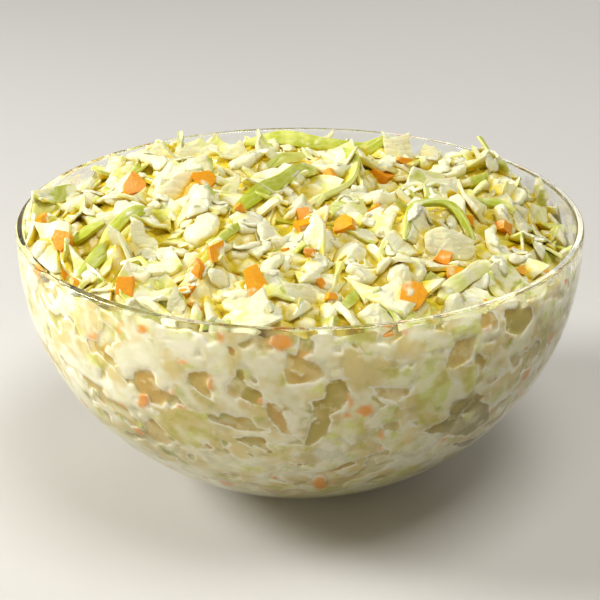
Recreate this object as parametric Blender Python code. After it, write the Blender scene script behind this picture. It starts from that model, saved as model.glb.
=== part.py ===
"""A round clear glass bowl filled with coleslaw, in metres: +Z is up, -Y is the front.

The origin is the middle of the bowl's flat underside. Two solids: the bowl, turned from one
profile, and the heap of coleslaw, which fills the bowl to within a hair of its inner wall and
rises above the rim in an uneven mound.
"""

import math
import random

import bmesh
import bpy

# Driving dimensions of the bowl.
BOWL_RADIUS = 0.080
BOWL_HEIGHT = 0.076
BASE_RADIUS = 0.023
RIM_WALL = 0.0024
BASE_WALL = 0.0042
REACH_POWER = 1.415  # how the wall's radius grows from the base to the rim
RISE_POWER = 0.851  # how the wall's height grows from the base to the rim

# Driving dimensions of the heap, with heights counted from the rim.
CROWN_RISE = 0.0058
FILL_DROP = 0.0080  # mean depth of the salad's edge under the rim
FILL_SWAY = 0.0040  # how much lower the edge lies at the low side than on average
LOW_SIDE = math.radians(50)  # azimuth of the low side, from +X towards +Y
MOUND_POWER = 0.72
WALL_GAP = 0.0003
LUMPS = 110
LUMP_RISE = (-0.0020, 0.0026)  # a lump is a hollow where this is under 0
LUMP_WIDTH = (0.0050, 0.0095)
LUMP_SEED = 11

# How finely the solids are cut.
SEGMENTS = 64
WALL_BANDS = 13
LIP_BANDS = 6
MOUND_RINGS = 14

LIP_RADIUS = RIM_WALL / 2
WALL_HEIGHT = BOWL_HEIGHT - LIP_RADIUS
QUARTER = math.pi / 2


def clear_scene():
    """Remove whatever the file held."""
    for obj in list(bpy.data.objects):
        bpy.data.objects.remove(obj)


def outer_wall(turn):
    """Radius and height of the outer wall, for a turn of 0 at the base to a quarter at the rim."""
    reach = math.sin(turn) ** REACH_POWER
    rise = 1 - max(math.cos(turn), 0.0) ** RISE_POWER
    return BASE_RADIUS + (BOWL_RADIUS - BASE_RADIUS) * reach, WALL_HEIGHT * rise


def inward_normal(turn):
    """Unit normal of the outer wall that points into the bowl."""
    step = 1e-4
    before = outer_wall(max(turn - step, 0.0))
    after = outer_wall(min(turn + step, QUARTER))
    along_r, along_z = after[0] - before[0], after[1] - before[1]
    length = math.hypot(along_r, along_z)
    return -along_z / length, along_r / length


def inner_wall(turn, gap=0.0):
    """Radius and height of the inner wall, or of a skin that keeps a gap to it."""
    share = math.sin(turn) ** 2
    depth = BASE_WALL + (RIM_WALL - BASE_WALL) * share + gap
    (radius, height), (normal_r, normal_z) = outer_wall(turn), inward_normal(turn)
    return radius + depth * normal_r, height + depth * normal_z


def turns(last):
    """Turns from the base to the last one, in even steps."""
    return [last * band / WALL_BANDS for band in range(WALL_BANDS + 1)]


def bowl_profile():
    """The bowl's section, from the middle of its inner floor over the lip to the underside."""
    inside = [inner_wall(turn) for turn in turns(QUARTER)]
    outside = [outer_wall(turn) for turn in reversed(turns(QUARTER))]
    lip = []
    for band in range(1, LIP_BANDS):
        angle = math.pi * (1 - band / LIP_BANDS)
        radius = BOWL_RADIUS - LIP_RADIUS + LIP_RADIUS * math.cos(angle)
        lip.append((radius, WALL_HEIGHT + LIP_RADIUS * math.sin(angle)))
    return [(0.0, inside[0][1]), *inside, *lip, *outside, (0.0, 0.0)]


def fill_height(azimuth):
    """Height of the salad's edge on the inner wall: lower on the low side, and wavy."""
    sway = math.cos(azimuth - LOW_SIDE) + 0.35 * math.sin(3 * azimuth + 0.6)
    ripple = 0.22 * math.sin(7 * azimuth + 1.3) + 0.15 * math.cos(11 * azimuth)
    return BOWL_HEIGHT - FILL_DROP - FILL_SWAY * (sway + ripple)


def fill_turn(height, gap):
    """The turn at which the inner wall reaches a height, by halving."""
    low, high = 0.0, QUARTER
    for _ in range(30):
        middle = (low + high) / 2
        if inner_wall(middle, gap)[1] < height:
            low = middle
        else:
            high = middle
    return low


def lump_list():
    """Centre, height and width of each lump, spread evenly over the heap by chance."""
    chance = random.Random(LUMP_SEED)
    lumps = []
    for _ in range(LUMPS):
        reach = BOWL_RADIUS * math.sqrt(chance.random())
        azimuth = chance.uniform(0, 2 * math.pi)
        rise = chance.uniform(*LUMP_RISE)
        width = chance.uniform(*LUMP_WIDTH)
        lumps.append((reach * math.cos(azimuth), reach * math.sin(azimuth), rise, width))
    return lumps


def mound_height(x, y, share, edge_height, lumps):
    """Height of the heap's top, at a share of the way from its middle (0) to its edge (1)."""
    crown = BOWL_HEIGHT + CROWN_RISE
    height = edge_height + (crown - edge_height) * (1 - share**2) ** MOUND_POWER
    lumpy = sum(
        rise * math.exp(-((x - at_x) ** 2 + (y - at_y) ** 2) / width**2)
        for at_x, at_y, rise, width in lumps
    )
    return height + lumpy * (1 - share**8)


def make_material(name, colour, roughness, transmission=0.0):
    """A Principled material of one colour."""
    material = bpy.data.materials.new(name)
    material.use_nodes = True
    shader = material.node_tree.nodes["Principled BSDF"]
    shader.inputs["Base Color"].default_value = (*colour, 1.0)
    shader.inputs["Roughness"].default_value = roughness
    shader.inputs["Metallic"].default_value = 0.0
    shader.inputs["Transmission Weight"].default_value = transmission
    return material


def add_object(name, mesh, material):
    """Link a smooth-shaded object that holds the mesh."""
    mesh.materials.append(material)
    mesh.shade_smooth()
    obj = bpy.data.objects.new(name, mesh)
    bpy.context.scene.collection.objects.link(obj)
    return obj


def make_bowl():
    """The bowl: its section turned once round the Z axis by a Screw modifier."""
    profile = bowl_profile()
    mesh = bpy.data.meshes.new("bowl")
    edges = [(k, k + 1) for k in range(len(profile) - 1)]
    mesh.from_pydata([(radius, 0.0, height) for radius, height in profile], edges, [])
    glass = make_material("clear_glass", (0.93, 0.95, 0.94), 0.02, transmission=1.0)
    bowl = add_object("bowl", mesh, glass)
    screw = bowl.modifiers.new("turn", "SCREW")
    screw.axis = "Z"
    screw.angle = 2 * math.pi
    screw.steps = screw.render_steps = SEGMENTS
    screw.use_merge_vertices = True
    screw.merge_threshold = 0.00001
    return bowl


def heap_column(azimuth, lumps):
    """Points of the heap at one azimuth, from just off the floor's middle up and over the top."""
    along_x, along_y = math.cos(azimuth), math.sin(azimuth)
    edge_height = fill_height(azimuth)
    last = fill_turn(edge_height, WALL_GAP)
    column = [inner_wall(turn, WALL_GAP) for turn in turns(last)]
    edge_radius = column[-1][0]
    for ring in range(1, MOUND_RINGS):
        share = 1 - ring / MOUND_RINGS
        radius = edge_radius * share
        height = mound_height(radius * along_x, radius * along_y, share, edge_height, lumps)
        column.append((radius, height))
    return [(radius * along_x, radius * along_y, height) for radius, height in column]


def make_coleslaw():
    """The heap: columns of points side by side, closed by a point at the floor and the crown."""
    lumps = lump_list()
    columns = [heap_column(2 * math.pi * k / SEGMENTS, lumps) for k in range(SEGMENTS)]
    work = bmesh.new()
    grid = [[work.verts.new(point) for point in column] for column in columns]
    floor = work.verts.new((0.0, 0.0, inner_wall(0.0, WALL_GAP)[1]))
    crown = work.verts.new((0.0, 0.0, mound_height(0.0, 0.0, 0.0, BOWL_HEIGHT, lumps)))
    for here, there in zip(grid, grid[1:] + grid[:1]):
        work.faces.new((floor, there[0], here[0]))
        for low in range(len(here) - 1):
            work.faces.new((here[low], there[low], there[low + 1], here[low + 1]))
        work.faces.new((here[-1], there[-1], crown))
    bmesh.ops.recalc_face_normals(work, faces=work.faces)
    mesh = bpy.data.meshes.new("coleslaw")
    work.to_mesh(mesh)
    work.free()
    return add_object("coleslaw", mesh, make_material("dressed_salad", (0.90, 0.88, 0.62), 0.4))


clear_scene()
make_bowl()
make_coleslaw()
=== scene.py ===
"""Coleslaw in its clear glass bowl: the looks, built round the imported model.

Lengths are in millimetres here and become metres when a mesh is made. +Z is up and -Y the front.
The bowl is turned from its section. The salad is a bed of dressing with cut leaf, strips, ribs,
carrot and crumbs settled on it one by one, each coming to rest on what lies there already, and a
pressed skin of the same things against the glass. Everything random is drawn from a seeded source.
"""

import math

import bpy
import numpy as np
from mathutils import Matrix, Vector


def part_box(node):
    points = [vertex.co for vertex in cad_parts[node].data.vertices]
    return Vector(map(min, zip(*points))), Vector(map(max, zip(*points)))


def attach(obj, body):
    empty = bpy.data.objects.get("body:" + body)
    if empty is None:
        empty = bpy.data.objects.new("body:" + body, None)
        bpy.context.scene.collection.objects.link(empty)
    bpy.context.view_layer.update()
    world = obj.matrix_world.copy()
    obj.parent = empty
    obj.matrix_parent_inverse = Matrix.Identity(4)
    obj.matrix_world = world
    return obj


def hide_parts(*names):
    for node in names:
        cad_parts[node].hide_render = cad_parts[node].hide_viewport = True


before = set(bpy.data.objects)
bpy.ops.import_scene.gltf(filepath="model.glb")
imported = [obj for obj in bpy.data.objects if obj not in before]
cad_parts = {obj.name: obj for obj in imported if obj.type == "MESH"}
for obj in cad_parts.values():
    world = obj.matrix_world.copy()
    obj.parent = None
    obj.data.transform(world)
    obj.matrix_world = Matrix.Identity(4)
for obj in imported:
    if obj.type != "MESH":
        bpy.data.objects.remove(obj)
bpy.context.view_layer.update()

# ---------------------------------------------------------------- driving sizes, in millimetres
MM = 0.001
RADIUS = float(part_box("bowl")[1][0] / MM)
HEIGHT = float(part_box("bowl")[1][2] / MM)
BASE_RADIUS = 0.2875 * RADIUS
RIM_WALL = 0.030 * RADIUS
BASE_WALL = 0.0525 * RADIUS
REACH_POWER = 1.415  # how the wall's radius grows from the base to the rim
RISE_POWER = 0.851  # how the wall's height grows from the base to the rim
LIP_RADIUS = RIM_WALL / 2
LIP_POWER = 0.6  # under 1, the lip's top is flatter than round
WALL_HEIGHT = HEIGHT - LIP_RADIUS
QUARTER = math.pi / 2
ROUND = 2 * math.pi

BED_DEPTH = 7.6  # how far under the finished top the first pieces lie
CELL = 0.8  # spacing of the height map that pieces settle on
SEED = 24
LEAN = math.radians(23.6)  # how far the upright leaf on top leans back
INTO_GLASS = 0.15  # how far what touches the glass reaches into it
NEAR_RIM = 1.5  # how far under the wall's top nothing touches the glass any more
TOP_SWELL = 0.8  # how much higher than the CAD heap the finished top stands
STANDING_SHARE = 0.38  # how many of the laid pieces stand on an edge
EARLY_DABS = 110  # dabs laid among the other pieces; the rest lie over them all
DAB_REACH = 70  # how far from the middle those may lie

# Colours, linear light.
CREAM = (0.94, 0.925, 0.66)
WHITE_LEAF = (0.92, 0.90, 0.60)
PALE_LEAF = (0.78, 0.82, 0.24)
GREEN_LEAF = (0.50, 0.57, 0.02)
# Colour of the painted shade where the heap closes round a piece.
PAINTED_SHADE_GOLD = (0.86, 0.69, 0.02)
CARROT = (0.88, 0.33, 0.006)
PALE_CARROT = (0.96, 0.48, 0.02)
WET_CARROT = (0.95, 0.39, 0.01)


# ---------------------------------------------------------------- the bowl's section
def outer_wall(turn):
    """Radius and height of the outer wall: base + reach * sin^p(turn), rise * (1 - cos^q(turn))."""
    reach = np.sin(turn) ** REACH_POWER
    rise = 1 - np.clip(np.cos(turn), 0, 1) ** RISE_POWER
    return BASE_RADIUS + (RADIUS - BASE_RADIUS) * reach, WALL_HEIGHT * rise


def inner_wall(turn):
    """Radius and height of the inner wall: the outer wall moved inward along its unit normal, found
    from a small step along the wall, by the wall's thickness there."""
    step = 1e-4
    r0, z0 = outer_wall(np.maximum(turn - step, 0))
    r1, z1 = outer_wall(np.minimum(turn + step, QUARTER))
    length = np.hypot(r1 - r0, z1 - z0)
    depth = BASE_WALL + (RIM_WALL - BASE_WALL) * np.sin(turn) ** 2
    radius, height = outer_wall(turn)
    return radius - depth * (z1 - z0) / length, height + depth * (r1 - r0) / length


INNER_R, INNER_Z = inner_wall(np.linspace(0, QUARTER, 400))

# The inside from the middle of the floor to the rim: radius, height, length so far and slope.
FLOOR_STEPS = 39
PATH_R = np.concatenate([np.linspace(0, INNER_R[0], FLOOR_STEPS + 1)[:-1], INNER_R])
PATH_Z = np.concatenate([np.full(FLOOR_STEPS, INNER_Z[0]), INNER_Z])
PATH = np.concatenate([[0], np.cumsum(np.hypot(np.diff(PATH_R), np.diff(PATH_Z)))])
RUN_R, RUN_Z = np.gradient(PATH_R, PATH), np.gradient(PATH_Z, PATH)


def inner_radius(height):
    """Radius of the inner wall at a height."""
    return np.interp(height, INNER_Z, INNER_R)


def path_at(height):
    """Length along the inside at a height above the floor."""
    return np.interp(height, PATH_Z[FLOOR_STEPS:], PATH[FLOOR_STEPS:])


def polar(radius, azimuth, height):
    """Points at a radius, an azimuth and a height."""
    return np.stack(np.broadcast_arrays(radius * np.cos(azimuth), radius * np.sin(azimuth), height), -1)


# ---------------------------------------------------------------- meshes from arrays
def tube_faces(rows, columns, count=1):
    """Quads and triangles of closed shapes, each with rings of points between two poles.

    A shape's points are rows * columns ring points, then its first and its last pole. Columns run
    anticlockwise seen from outside the first pole, so that every face points outward.
    """
    row, column = np.meshgrid(np.arange(rows - 1), np.arange(columns), indexing="ij")
    after = (column + 1) % columns
    quads = np.stack([row * columns + column, (row + 1) * columns + column,
                      (row + 1) * columns + after, row * columns + after], -1).reshape(-1, 4)
    edge = np.arange(columns)
    after = (edge + 1) % columns
    last, pole = (rows - 1) * columns, rows * columns
    triangles = np.concatenate([np.stack([np.full(columns, pole), edge, after], -1),
                                np.stack([np.full(columns, pole + 1), last + after, last + edge], -1)])
    start = (pole + 2) * np.arange(count)[:, None, None]
    return (quads + start).reshape(-1, 4), (triangles + start).reshape(-1, 3)


def make_piece(name, points, faces, material, fields=None, local=None, crisp=None, heap=None,
               slot="dressed_salad"):
    """A smooth-shaded piece of the object from arrays, riding on the one body.

    Edges that turn by more than crisp degrees stay sharp. With a heap, how closed in each point is
    goes with it. Fields are values or colours at the points, local the cut's own coordinates.
    """
    quads, triangles = faces
    mesh = bpy.data.meshes.new(name)
    corners = np.concatenate([quads.ravel(), triangles.ravel()]).astype(np.int32)
    starts = np.concatenate([4 * np.arange(len(quads)), 4 * len(quads) + 3 * np.arange(len(triangles))])
    mesh.vertices.add(len(points))
    mesh.loops.add(len(corners))
    mesh.polygons.add(len(starts))
    mesh.vertices.foreach_set("co", (np.asarray(points) * MM).astype(np.float32).ravel())
    mesh.loops.foreach_set("vertex_index", corners)
    mesh.polygons.foreach_set("loop_start", starts.astype(np.int32))
    mesh.update(calc_edges=True)
    fields = dict(fields or {})
    if heap:
        normals = np.zeros(len(points) * 3, np.float32)
        mesh.vertices.foreach_get("normal", normals)
        # Painted shade: how closed in each point is, which darkens its colour to golden.
        fields["deep"] = occlusion(heap, np.asarray(points), normals.reshape(-1, 3))
    for field, values in fields.items():
        kind, part = ("FLOAT", "value") if np.ndim(values) == 1 else ("FLOAT_COLOR", "color")
        layer = mesh.attributes.new(field, kind, "POINT")
        layer.data.foreach_set(part, np.asarray(values, np.float32).ravel())
    if local is not None:
        layer = mesh.uv_layers.new(name="cut")
        layer.data.foreach_set("uv", np.asarray(local, np.float32)[corners].ravel())
    mesh.validate()
    mesh.shade_smooth()
    if crisp:
        mesh.set_sharp_from_angle(angle=math.radians(crisp))
    mesh.materials.append(material)
    piece = bpy.data.objects.new(name, mesh)
    bpy.context.scene.collection.objects.link(piece)
    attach(piece, "root")
    return piece


def make_salad(*given, **more):
    """A piece that stands, with the others, for the salad."""
    piece = make_piece(*given, **more)
    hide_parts("coleslaw")


# ---------------------------------------------------------------- shader helpers
class Nodes:
    """A shader tree, with a short way to place each kind of node that the materials use."""

    def __init__(self, tree):
        self.tree = tree

    def feed(self, socket, value):
        """Link a socket to an input, or set the input's own value."""
        if isinstance(value, bpy.types.NodeSocket):
            self.tree.links.new(value, socket)
        else:
            socket.default_value = (*value, 1.0) if socket.type == "RGBA" else value

    def set(self, node, **values):
        """Feed a node's inputs by their names."""
        for name, value in values.items():
            self.feed(node.inputs[name.replace("_", " ")], value)

    def place(self, kind, *values, **settings):
        """A node. Values feed its first inputs, a setting named after an input feeds that one, and
        any other setting is the node's own."""
        made = self.tree.nodes.new("ShaderNode" + kind)
        for name, value in settings.items():
            if name.replace("_", " ") in made.inputs:
                self.set(made, **{name: value})
            else:
                setattr(made, name, value)
        for socket, value in zip(made.inputs, values):
            self.feed(socket, value)
        return made

    def where(self):
        """The place on the object, in metres."""
        return self.place("TexCoord").outputs["Object"]

    def attribute(self, name, output="Fac"):
        """A value or colour that the mesh keeps at its points."""
        return self.place("Attribute", attribute_name=name).outputs[output]

    def noise(self, vector, scale, detail=2.0, roughness=0.5):
        """Noise from 0 to 1, with about so many lumps in a metre."""
        made = self.place("TexNoise", Vector=vector, Scale=scale, Detail=detail, Roughness=roughness)
        return made.outputs["Fac"]

    def math(self, operation, *values, clamp=False):
        """The result of a Math node."""
        return self.place("Math", *values, operation=operation, use_clamp=clamp).outputs[0]

    def mix(self, share, first, second, blend="MIX"):
        """A colour between two, by a share from 0 to 1."""
        made = self.place("Mix", data_type="RGBA", blend_type=blend)
        for number, value in ((0, share), (6, first), (7, second)):
            self.feed(made.inputs[number], value)
        return made.outputs[2]

    def ramp(self, value, low, high, to_low=0.0, to_high=1.0):
        """A smooth step from to_low where value is low to to_high where it is high."""
        return self.place("MapRange", interpolation_type="SMOOTHSTEP", Value=value, From_Min=low,
                          From_Max=high, To_Min=to_low, To_Max=to_high).outputs[0]

    def bump(self, height, strength, distance):
        """The normal of a relief."""
        return self.place("Bump", Height=height, Strength=strength, Distance=distance).outputs[0]

    def group(self, tree, **settings):
        """The outputs of a node group placed with its own values."""
        return self.place("Group", node_tree=tree, **settings).outputs


def new_group(name, inputs, outputs):
    """A shader node group with named sockets: its nodes, its inputs and its outputs."""
    tree = bpy.data.node_groups.new(name, "ShaderNodeTree")
    for in_out, labels in (("INPUT", inputs), ("OUTPUT", outputs)):
        for label in labels:
            kind = "NodeSocketColor" if label == "Colour" else "NodeSocketFloat"
            tree.interface.new_socket(label, in_out=in_out, socket_type=kind)
    return Nodes(tree), tree.nodes.new("NodeGroupInput").outputs, tree.nodes.new("NodeGroupOutput")


def new_material(name, **settings):
    """A material with one Principled BSDF, set to what is the same all over, and its nodes."""
    material = bpy.data.materials.new(name)
    material.use_nodes = True
    nodes = Nodes(material.node_tree)
    shader = nodes.tree.nodes["Principled BSDF"]
    nodes.set(shader, **settings)
    return material, nodes, shader


# ---------------------------------------------------------------- shader groups
def make_dressing_group():
    """Dressing on a piece: how much of it lies there, its colour over the piece's, and its relief.

    The film is thick where low, wide noise is high, and everywhere a little. Where the heap closes
    round a piece, which Deep says from 0 to 1, the colour is darkened to golden as painted shade, and
    deepest in to a dark olive gold.
    """
    nodes, given, out = new_group("dressing_film_and_painted_shade", ("Colour", "Cover", "Thin", "Deep"),
                                  ("Colour", "Film", "Height"))
    where = nodes.where()
    amount = nodes.math("ADD", nodes.noise(where, 210.0, 2.0, 0.45), given["Cover"])
    film = nodes.ramp(amount, 0.47, 0.61)
    colour = nodes.mix(film, given["Colour"], CREAM)
    colour = nodes.mix(given["Thin"], colour, CREAM)
    # Painted shade: golden where the heap closes round the piece, a dark olive gold deepest in.
    colour = nodes.mix(nodes.ramp(given["Deep"], 0.06, 0.52, 0.0, 0.95), colour, PAINTED_SHADE_GOLD, "MULTIPLY")
    deepest = nodes.ramp(given["Deep"], 0.45, 0.95, 0.0, 0.55)
    colour = nodes.mix(deepest, colour, (0.74, 0.62, 0.20), "MULTIPLY")
    relief = nodes.math("MULTIPLY_ADD", nodes.noise(where, 620.0, 1.0, 0.4), 0.35, film)
    nodes.set(out, Colour=colour, Film=film, Height=relief)
    return nodes.tree


def make_vein_group():
    """Leaf veins along a piece: a wave across the cut's own coordinates, bent by noise."""
    nodes, given, out = new_group("leaf_veins", ("Spacing",), ("Vein", "Blotch"))
    cut = nodes.place("UVMap", uv_map="cut").outputs[0]
    bend = nodes.place("TexNoise", Vector=cut, Scale=2.5, Detail=2.0).outputs["Color"]
    bent = nodes.place("VectorMath", bend, (0.35, 0.35, 0.0), cut, operation="MULTIPLY_ADD").outputs[0]
    wave = nodes.place("TexWave", Vector=bent, wave_type="BANDS", bands_direction="Y",
                       Scale=given["Spacing"], Distortion=1.5, Detail=1.0).outputs["Fac"]
    nodes.set(out, Vein=nodes.math("POWER", wave, 3.0), Blotch=nodes.noise(cut, 1.6, 3.0))
    return nodes.tree


# ---------------------------------------------------------------- materials
def leaf_material(name, groups, cover, roughness, vein=0.25, thin=0.12):
    """Cut leaf: white, pale green or green by the piece's tint and the leaf's own blotches, with
    veins, under a film of dressing."""
    material, nodes, shader = new_material(name, IOR=1.36, Coat_Weight=0.06, Coat_Roughness=0.12,
                                           Subsurface_Weight=0.6, Subsurface_Scale=0.0009,
                                           Subsurface_Radius=(1.0, 0.85, 0.4))
    veins = nodes.group(groups["veins"], Spacing=1.6)
    spread = nodes.math("MULTIPLY_ADD", veins["Blotch"], 1.3, -0.65)
    share = nodes.math("ADD", nodes.attribute("tint"), spread, clamp=True)
    leaf = nodes.mix(nodes.ramp(share, 0.0, 0.5), WHITE_LEAF, PALE_LEAF)
    leaf = nodes.mix(nodes.ramp(share, 0.5, 0.95), leaf, GREEN_LEAF)
    leaf = nodes.mix(nodes.math("MULTIPLY", veins["Vein"], vein), leaf, WHITE_LEAF)
    film = nodes.group(groups["film"], Colour=leaf, Cover=cover, Thin=thin, Deep=nodes.attribute("deep"))
    relief = nodes.math("MULTIPLY_ADD", veins["Vein"], -0.3, film["Height"])
    nodes.set(shader, Base_Color=film["Colour"], Normal=nodes.bump(relief, 0.35, 0.0006),
              Roughness=nodes.ramp(film["Film"], 0.0, 1.0, roughness, 0.22))
    return material


def carrot_material(groups):
    """Carrot: orange with pale and deep fibres across the cut, thinly dressed."""
    material, nodes, shader = new_material("diced_carrot", IOR=1.42, Coat_Weight=0.1,
                                           Coat_Roughness=0.15, Subsurface_Weight=0.4,
                                           Subsurface_Scale=0.0008, Subsurface_Radius=(1.0, 0.6, 0.15))
    where = nodes.where()
    fibre, patch = nodes.noise(where, 1100.0, 3.0), nodes.noise(where, 260.0, 1.0)
    spread = nodes.math("MULTIPLY_ADD", fibre, 1.6, -0.8)
    share = nodes.math("ADD", nodes.attribute("tint"), spread, clamp=True)
    film = nodes.group(groups["film"], Colour=nodes.mix(share, CARROT, PALE_CARROT), Cover=-0.12,
                       Thin=0.0, Deep=nodes.attribute("deep"))
    relief = nodes.math("ADD", fibre, film["Height"])
    nodes.set(shader, Base_Color=film["Colour"], Normal=nodes.bump(relief, 0.4, 0.0004),
              Roughness=nodes.ramp(patch, 0.3, 0.7, 0.28, 0.5))
    return material


def dressing_material(groups):
    """Dressing by itself: cream, glossy, with fine lumps, golden as painted shade where closed in."""
    material, nodes, shader = new_material("creamy_dressing", IOR=1.45, Coat_Weight=0.3,
                                           Coat_Roughness=0.08, Subsurface_Weight=0.5,
                                           Subsurface_Scale=0.001, Subsurface_Radius=(1.0, 0.85, 0.5))
    # Painted shade: how closed in it is, plus the extra shade that a piece may give it.
    closed = nodes.math("ADD", nodes.attribute("deep"), nodes.attribute("pool"))
    film = nodes.group(groups["film"], Colour=CREAM, Cover=0.1, Thin=0.0, Deep=closed)
    nodes.set(shader, Base_Color=film["Colour"], Normal=nodes.bump(film["Height"], 0.4, 0.0006),
              Roughness=nodes.ramp(film["Height"], 0.8, 1.4, 0.2, 0.34))
    return material


def pressed_material():
    """The salad against the glass. Where touch, in millimetres inside a bit's edge, is above zero the
    bit lies on the glass: flat, filmed with dressing by the share that front keeps as its fourth
    value, with a thin pale line along its edge. Elsewhere the salad falls back, golden and soft,
    with painted shade that deepens the further back it lies and under the edge of a bit above."""
    material, nodes, shader = new_material("pressed_salad", IOR=1.42, Subsurface_Weight=0.2,
                                           Subsurface_Scale=0.0006, Subsurface_Radius=(1.0, 0.8, 0.45))
    math_node, mix, ramp, attribute = nodes.math, nodes.mix, nodes.ramp, nodes.attribute
    front = nodes.place("Attribute", attribute_name="front").outputs
    where = nodes.where()
    wide = nodes.noise(where, 110.0, 2.0, 0.5)
    broad = nodes.noise(where, 240.0, 3.0, 0.55)
    fine = nodes.noise(where, 800.0)
    low = ramp(nodes.place("SeparateXYZ", Vector=where).outputs["Z"], 0.006, 0.036, 1.0, 0.0)
    wander = math_node("MULTIPLY_ADD", fine, 0.3, math_node("MULTIPLY_ADD", broad, 1.2, -0.6))
    edge = math_node("ADD", attribute("touch"), math_node("ADD", wander, -0.15))
    blurred = ramp(wide, 0.48, 0.62, 0.16, 1.3)
    lying = ramp(math_node("DIVIDE", edge, blurred), -1.0, 1.0)

    filmed = math_node("MULTIPLY", ramp(broad, 0.40, 0.60, 0.05, 0.7), front["Alpha"])
    on_glass = mix(filmed, front["Color"], (0.99, 0.95, 0.78))
    dulled = math_node("MULTIPLY", ramp(wide, 0.38, 0.56, 0.85, 0.0), front["Alpha"])
    on_glass = mix(dulled, on_glass, (0.80, 0.67, 0.30), "MULTIPLY")

    # Painted shade: pockets darker the further back they lie and just under a bit above, as a painted
    # shadow.
    shade_depth = math_node("ADD", attribute("sunk"), math_node("MULTIPLY", wander, 0.9))
    depth = ramp(shade_depth, -0.2, 3.4, 0.1, 1.0)
    pocket = mix(depth, attribute("behind", "Color"), (0.56, 0.41, 0.03), "MULTIPLY")
    for noise, start, end, first, last, colour in (
            (wide, 0.45, 0.65, 0.0, 0.4, (0.86, 0.76, 0.40)),
            (broad, 0.52, 0.66, 0.0, 0.55, (0.88, 0.82, 0.46)),
            (broad, 0.34, 0.46, 0.6, 0.0, (0.50, 0.37, 0.04))):
        pocket = mix(ramp(noise, start, end, first, last), pocket, colour)
    pocket = mix(math_node("MULTIPLY", low, 0.5), pocket, CREAM)

    line = math_node("MULTIPLY", ramp(edge, -0.15, 0.10), ramp(edge, 0.20, 0.60, 1.0, 0.0))
    strength = math_node("MULTIPLY", ramp(broad, 0.38, 0.60, 0.1, 0.9),
                         math_node("MULTIPLY_ADD", low, -0.6, 1.0))
    joined = mix(lying, pocket, on_glass)
    outlined = mix(math_node("MULTIPLY", line, strength), joined, (0.99, 0.97, 0.84))
    kept = math_node("GREATER_THAN", math_node("ADD", attribute("kept"), wander), 0.0)
    cloud = math_node("MULTIPLY", ramp(wander, -0.25, 0.35), attribute("smear"))
    nodes.set(shader, Base_Color=outlined, Roughness=ramp(broad, 0.3, 0.7, 0.3, 0.5),
              Normal=nodes.bump(lying, 0.3, 0.0004), Alpha=math_node("MAXIMUM", kept, cloud))
    return material


def glass_material():
    """Clear glass that lets light through to the salad instead of casting a dark shadow on it."""
    material, nodes, shader = new_material("clear_glass", Base_Color=(0.985, 0.995, 0.99), IOR=1.5,
                                           Roughness=0.0, Transmission_Weight=1.0, Metallic=0.0)
    pull = nodes.noise(nodes.where(), 28.0, 1.0, 0.3)
    nodes.set(shader, Normal=nodes.bump(pull, 0.12, 0.001))
    clear = nodes.place("BsdfTransparent", Color=(0.96, 0.97, 0.965))
    shadow = nodes.place("LightPath").outputs["Is Shadow Ray"]
    mixed = nodes.place("MixShader", shadow, shader.outputs[0], clear.outputs[0])
    nodes.set(nodes.tree.nodes["Material Output"], Surface=mixed.outputs[0])
    return material


# ---------------------------------------------------------------- the glass bowl
def make_bowl(material):
    """The bowl as a turned surface: section point (r, z) at azimuth a is (r cos a, r sin a, z). The
    lip's section is (cos^p t, sin^p t), with signs kept."""
    columns, bands, lip_bands = 320, 60, 20
    turns = np.linspace(0, QUARTER, bands)
    inner_r, inner_z = inner_wall(turns)
    outer_r, outer_z = outer_wall(turns[::-1])
    lip = np.linspace(math.pi, 0, lip_bands + 1)[1:-1]
    lip_r = RADIUS - LIP_RADIUS + LIP_RADIUS * signed_power(np.cos(lip), LIP_POWER)
    lip_z = WALL_HEIGHT + LIP_RADIUS * signed_power(np.sin(lip), LIP_POWER)
    floor = inner_r[0] * np.array([0.25, 0.5, 0.75])
    radii = np.concatenate([floor, inner_r, lip_r, outer_r, floor[::-1]])
    heights = np.concatenate([np.full(3, inner_z[0]), inner_z, lip_z, outer_z, np.zeros(3)])
    azimuth = np.linspace(0, ROUND, columns, endpoint=False)
    points = polar(radii[:, None], azimuth, heights[:, None]).reshape(-1, 3)
    points = np.concatenate([points, [(0, 0, inner_z[0]), (0, 0, 0)]])
    piece = make_piece("glass_bowl", points, tube_faces(len(radii), columns), material,
                       slot="clear_glass")
    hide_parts("bowl")


# ---------------------------------------------------------------- shapes of the cut salad
def signed_power(value, power):
    """|value|^power with the sign of value."""
    return np.sign(value) * np.abs(value) ** power


def cut_outline(chance, count, columns, corners, ragged):
    """Outlines cut with straight sides: unit corner points at uneven angles, joined by straight runs,
    each point then moved in or out by a ragged share. Gives x and y for every column."""
    x, y = np.empty((2, count, columns))
    for number in range(count):
        sides = int(chance.choice(corners))
        angle = (np.arange(sides) + chance.uniform(-0.3, 0.3, sides)) * ROUND / sides
        angle = np.append(angle, angle[0]) + chance.uniform(0, ROUND)
        far = chance.uniform(0.8, 1.15, sides)
        far = np.append(far, far[0])
        along = np.arange(columns) * sides / columns
        x[number] = np.interp(along, np.arange(sides + 1), far * np.cos(angle))
        y[number] = np.interp(along, np.arange(sides + 1), far * np.sin(angle))
    rough = 1 + chance.normal(0, ragged, (count, columns))
    return x * rough, y * rough


def lobed_outline(chance, count, columns):
    """Round outlines with lobes: radius 1 + sum of depth_k cos(k a + phase_k)."""
    angle = np.linspace(0, ROUND, columns, endpoint=False)
    radius = np.ones((count, columns))
    for order, depth in enumerate((0.22, 0.16, 0.10, 0.06), 2):
        phase = chance.uniform(0, ROUND, (count, 1))
        radius = radius + depth * chance.uniform(0.3, 1, (count, 1)) * np.cos(order * angle + phase)
    return radius * np.cos(angle), radius * np.sin(angle)


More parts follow.
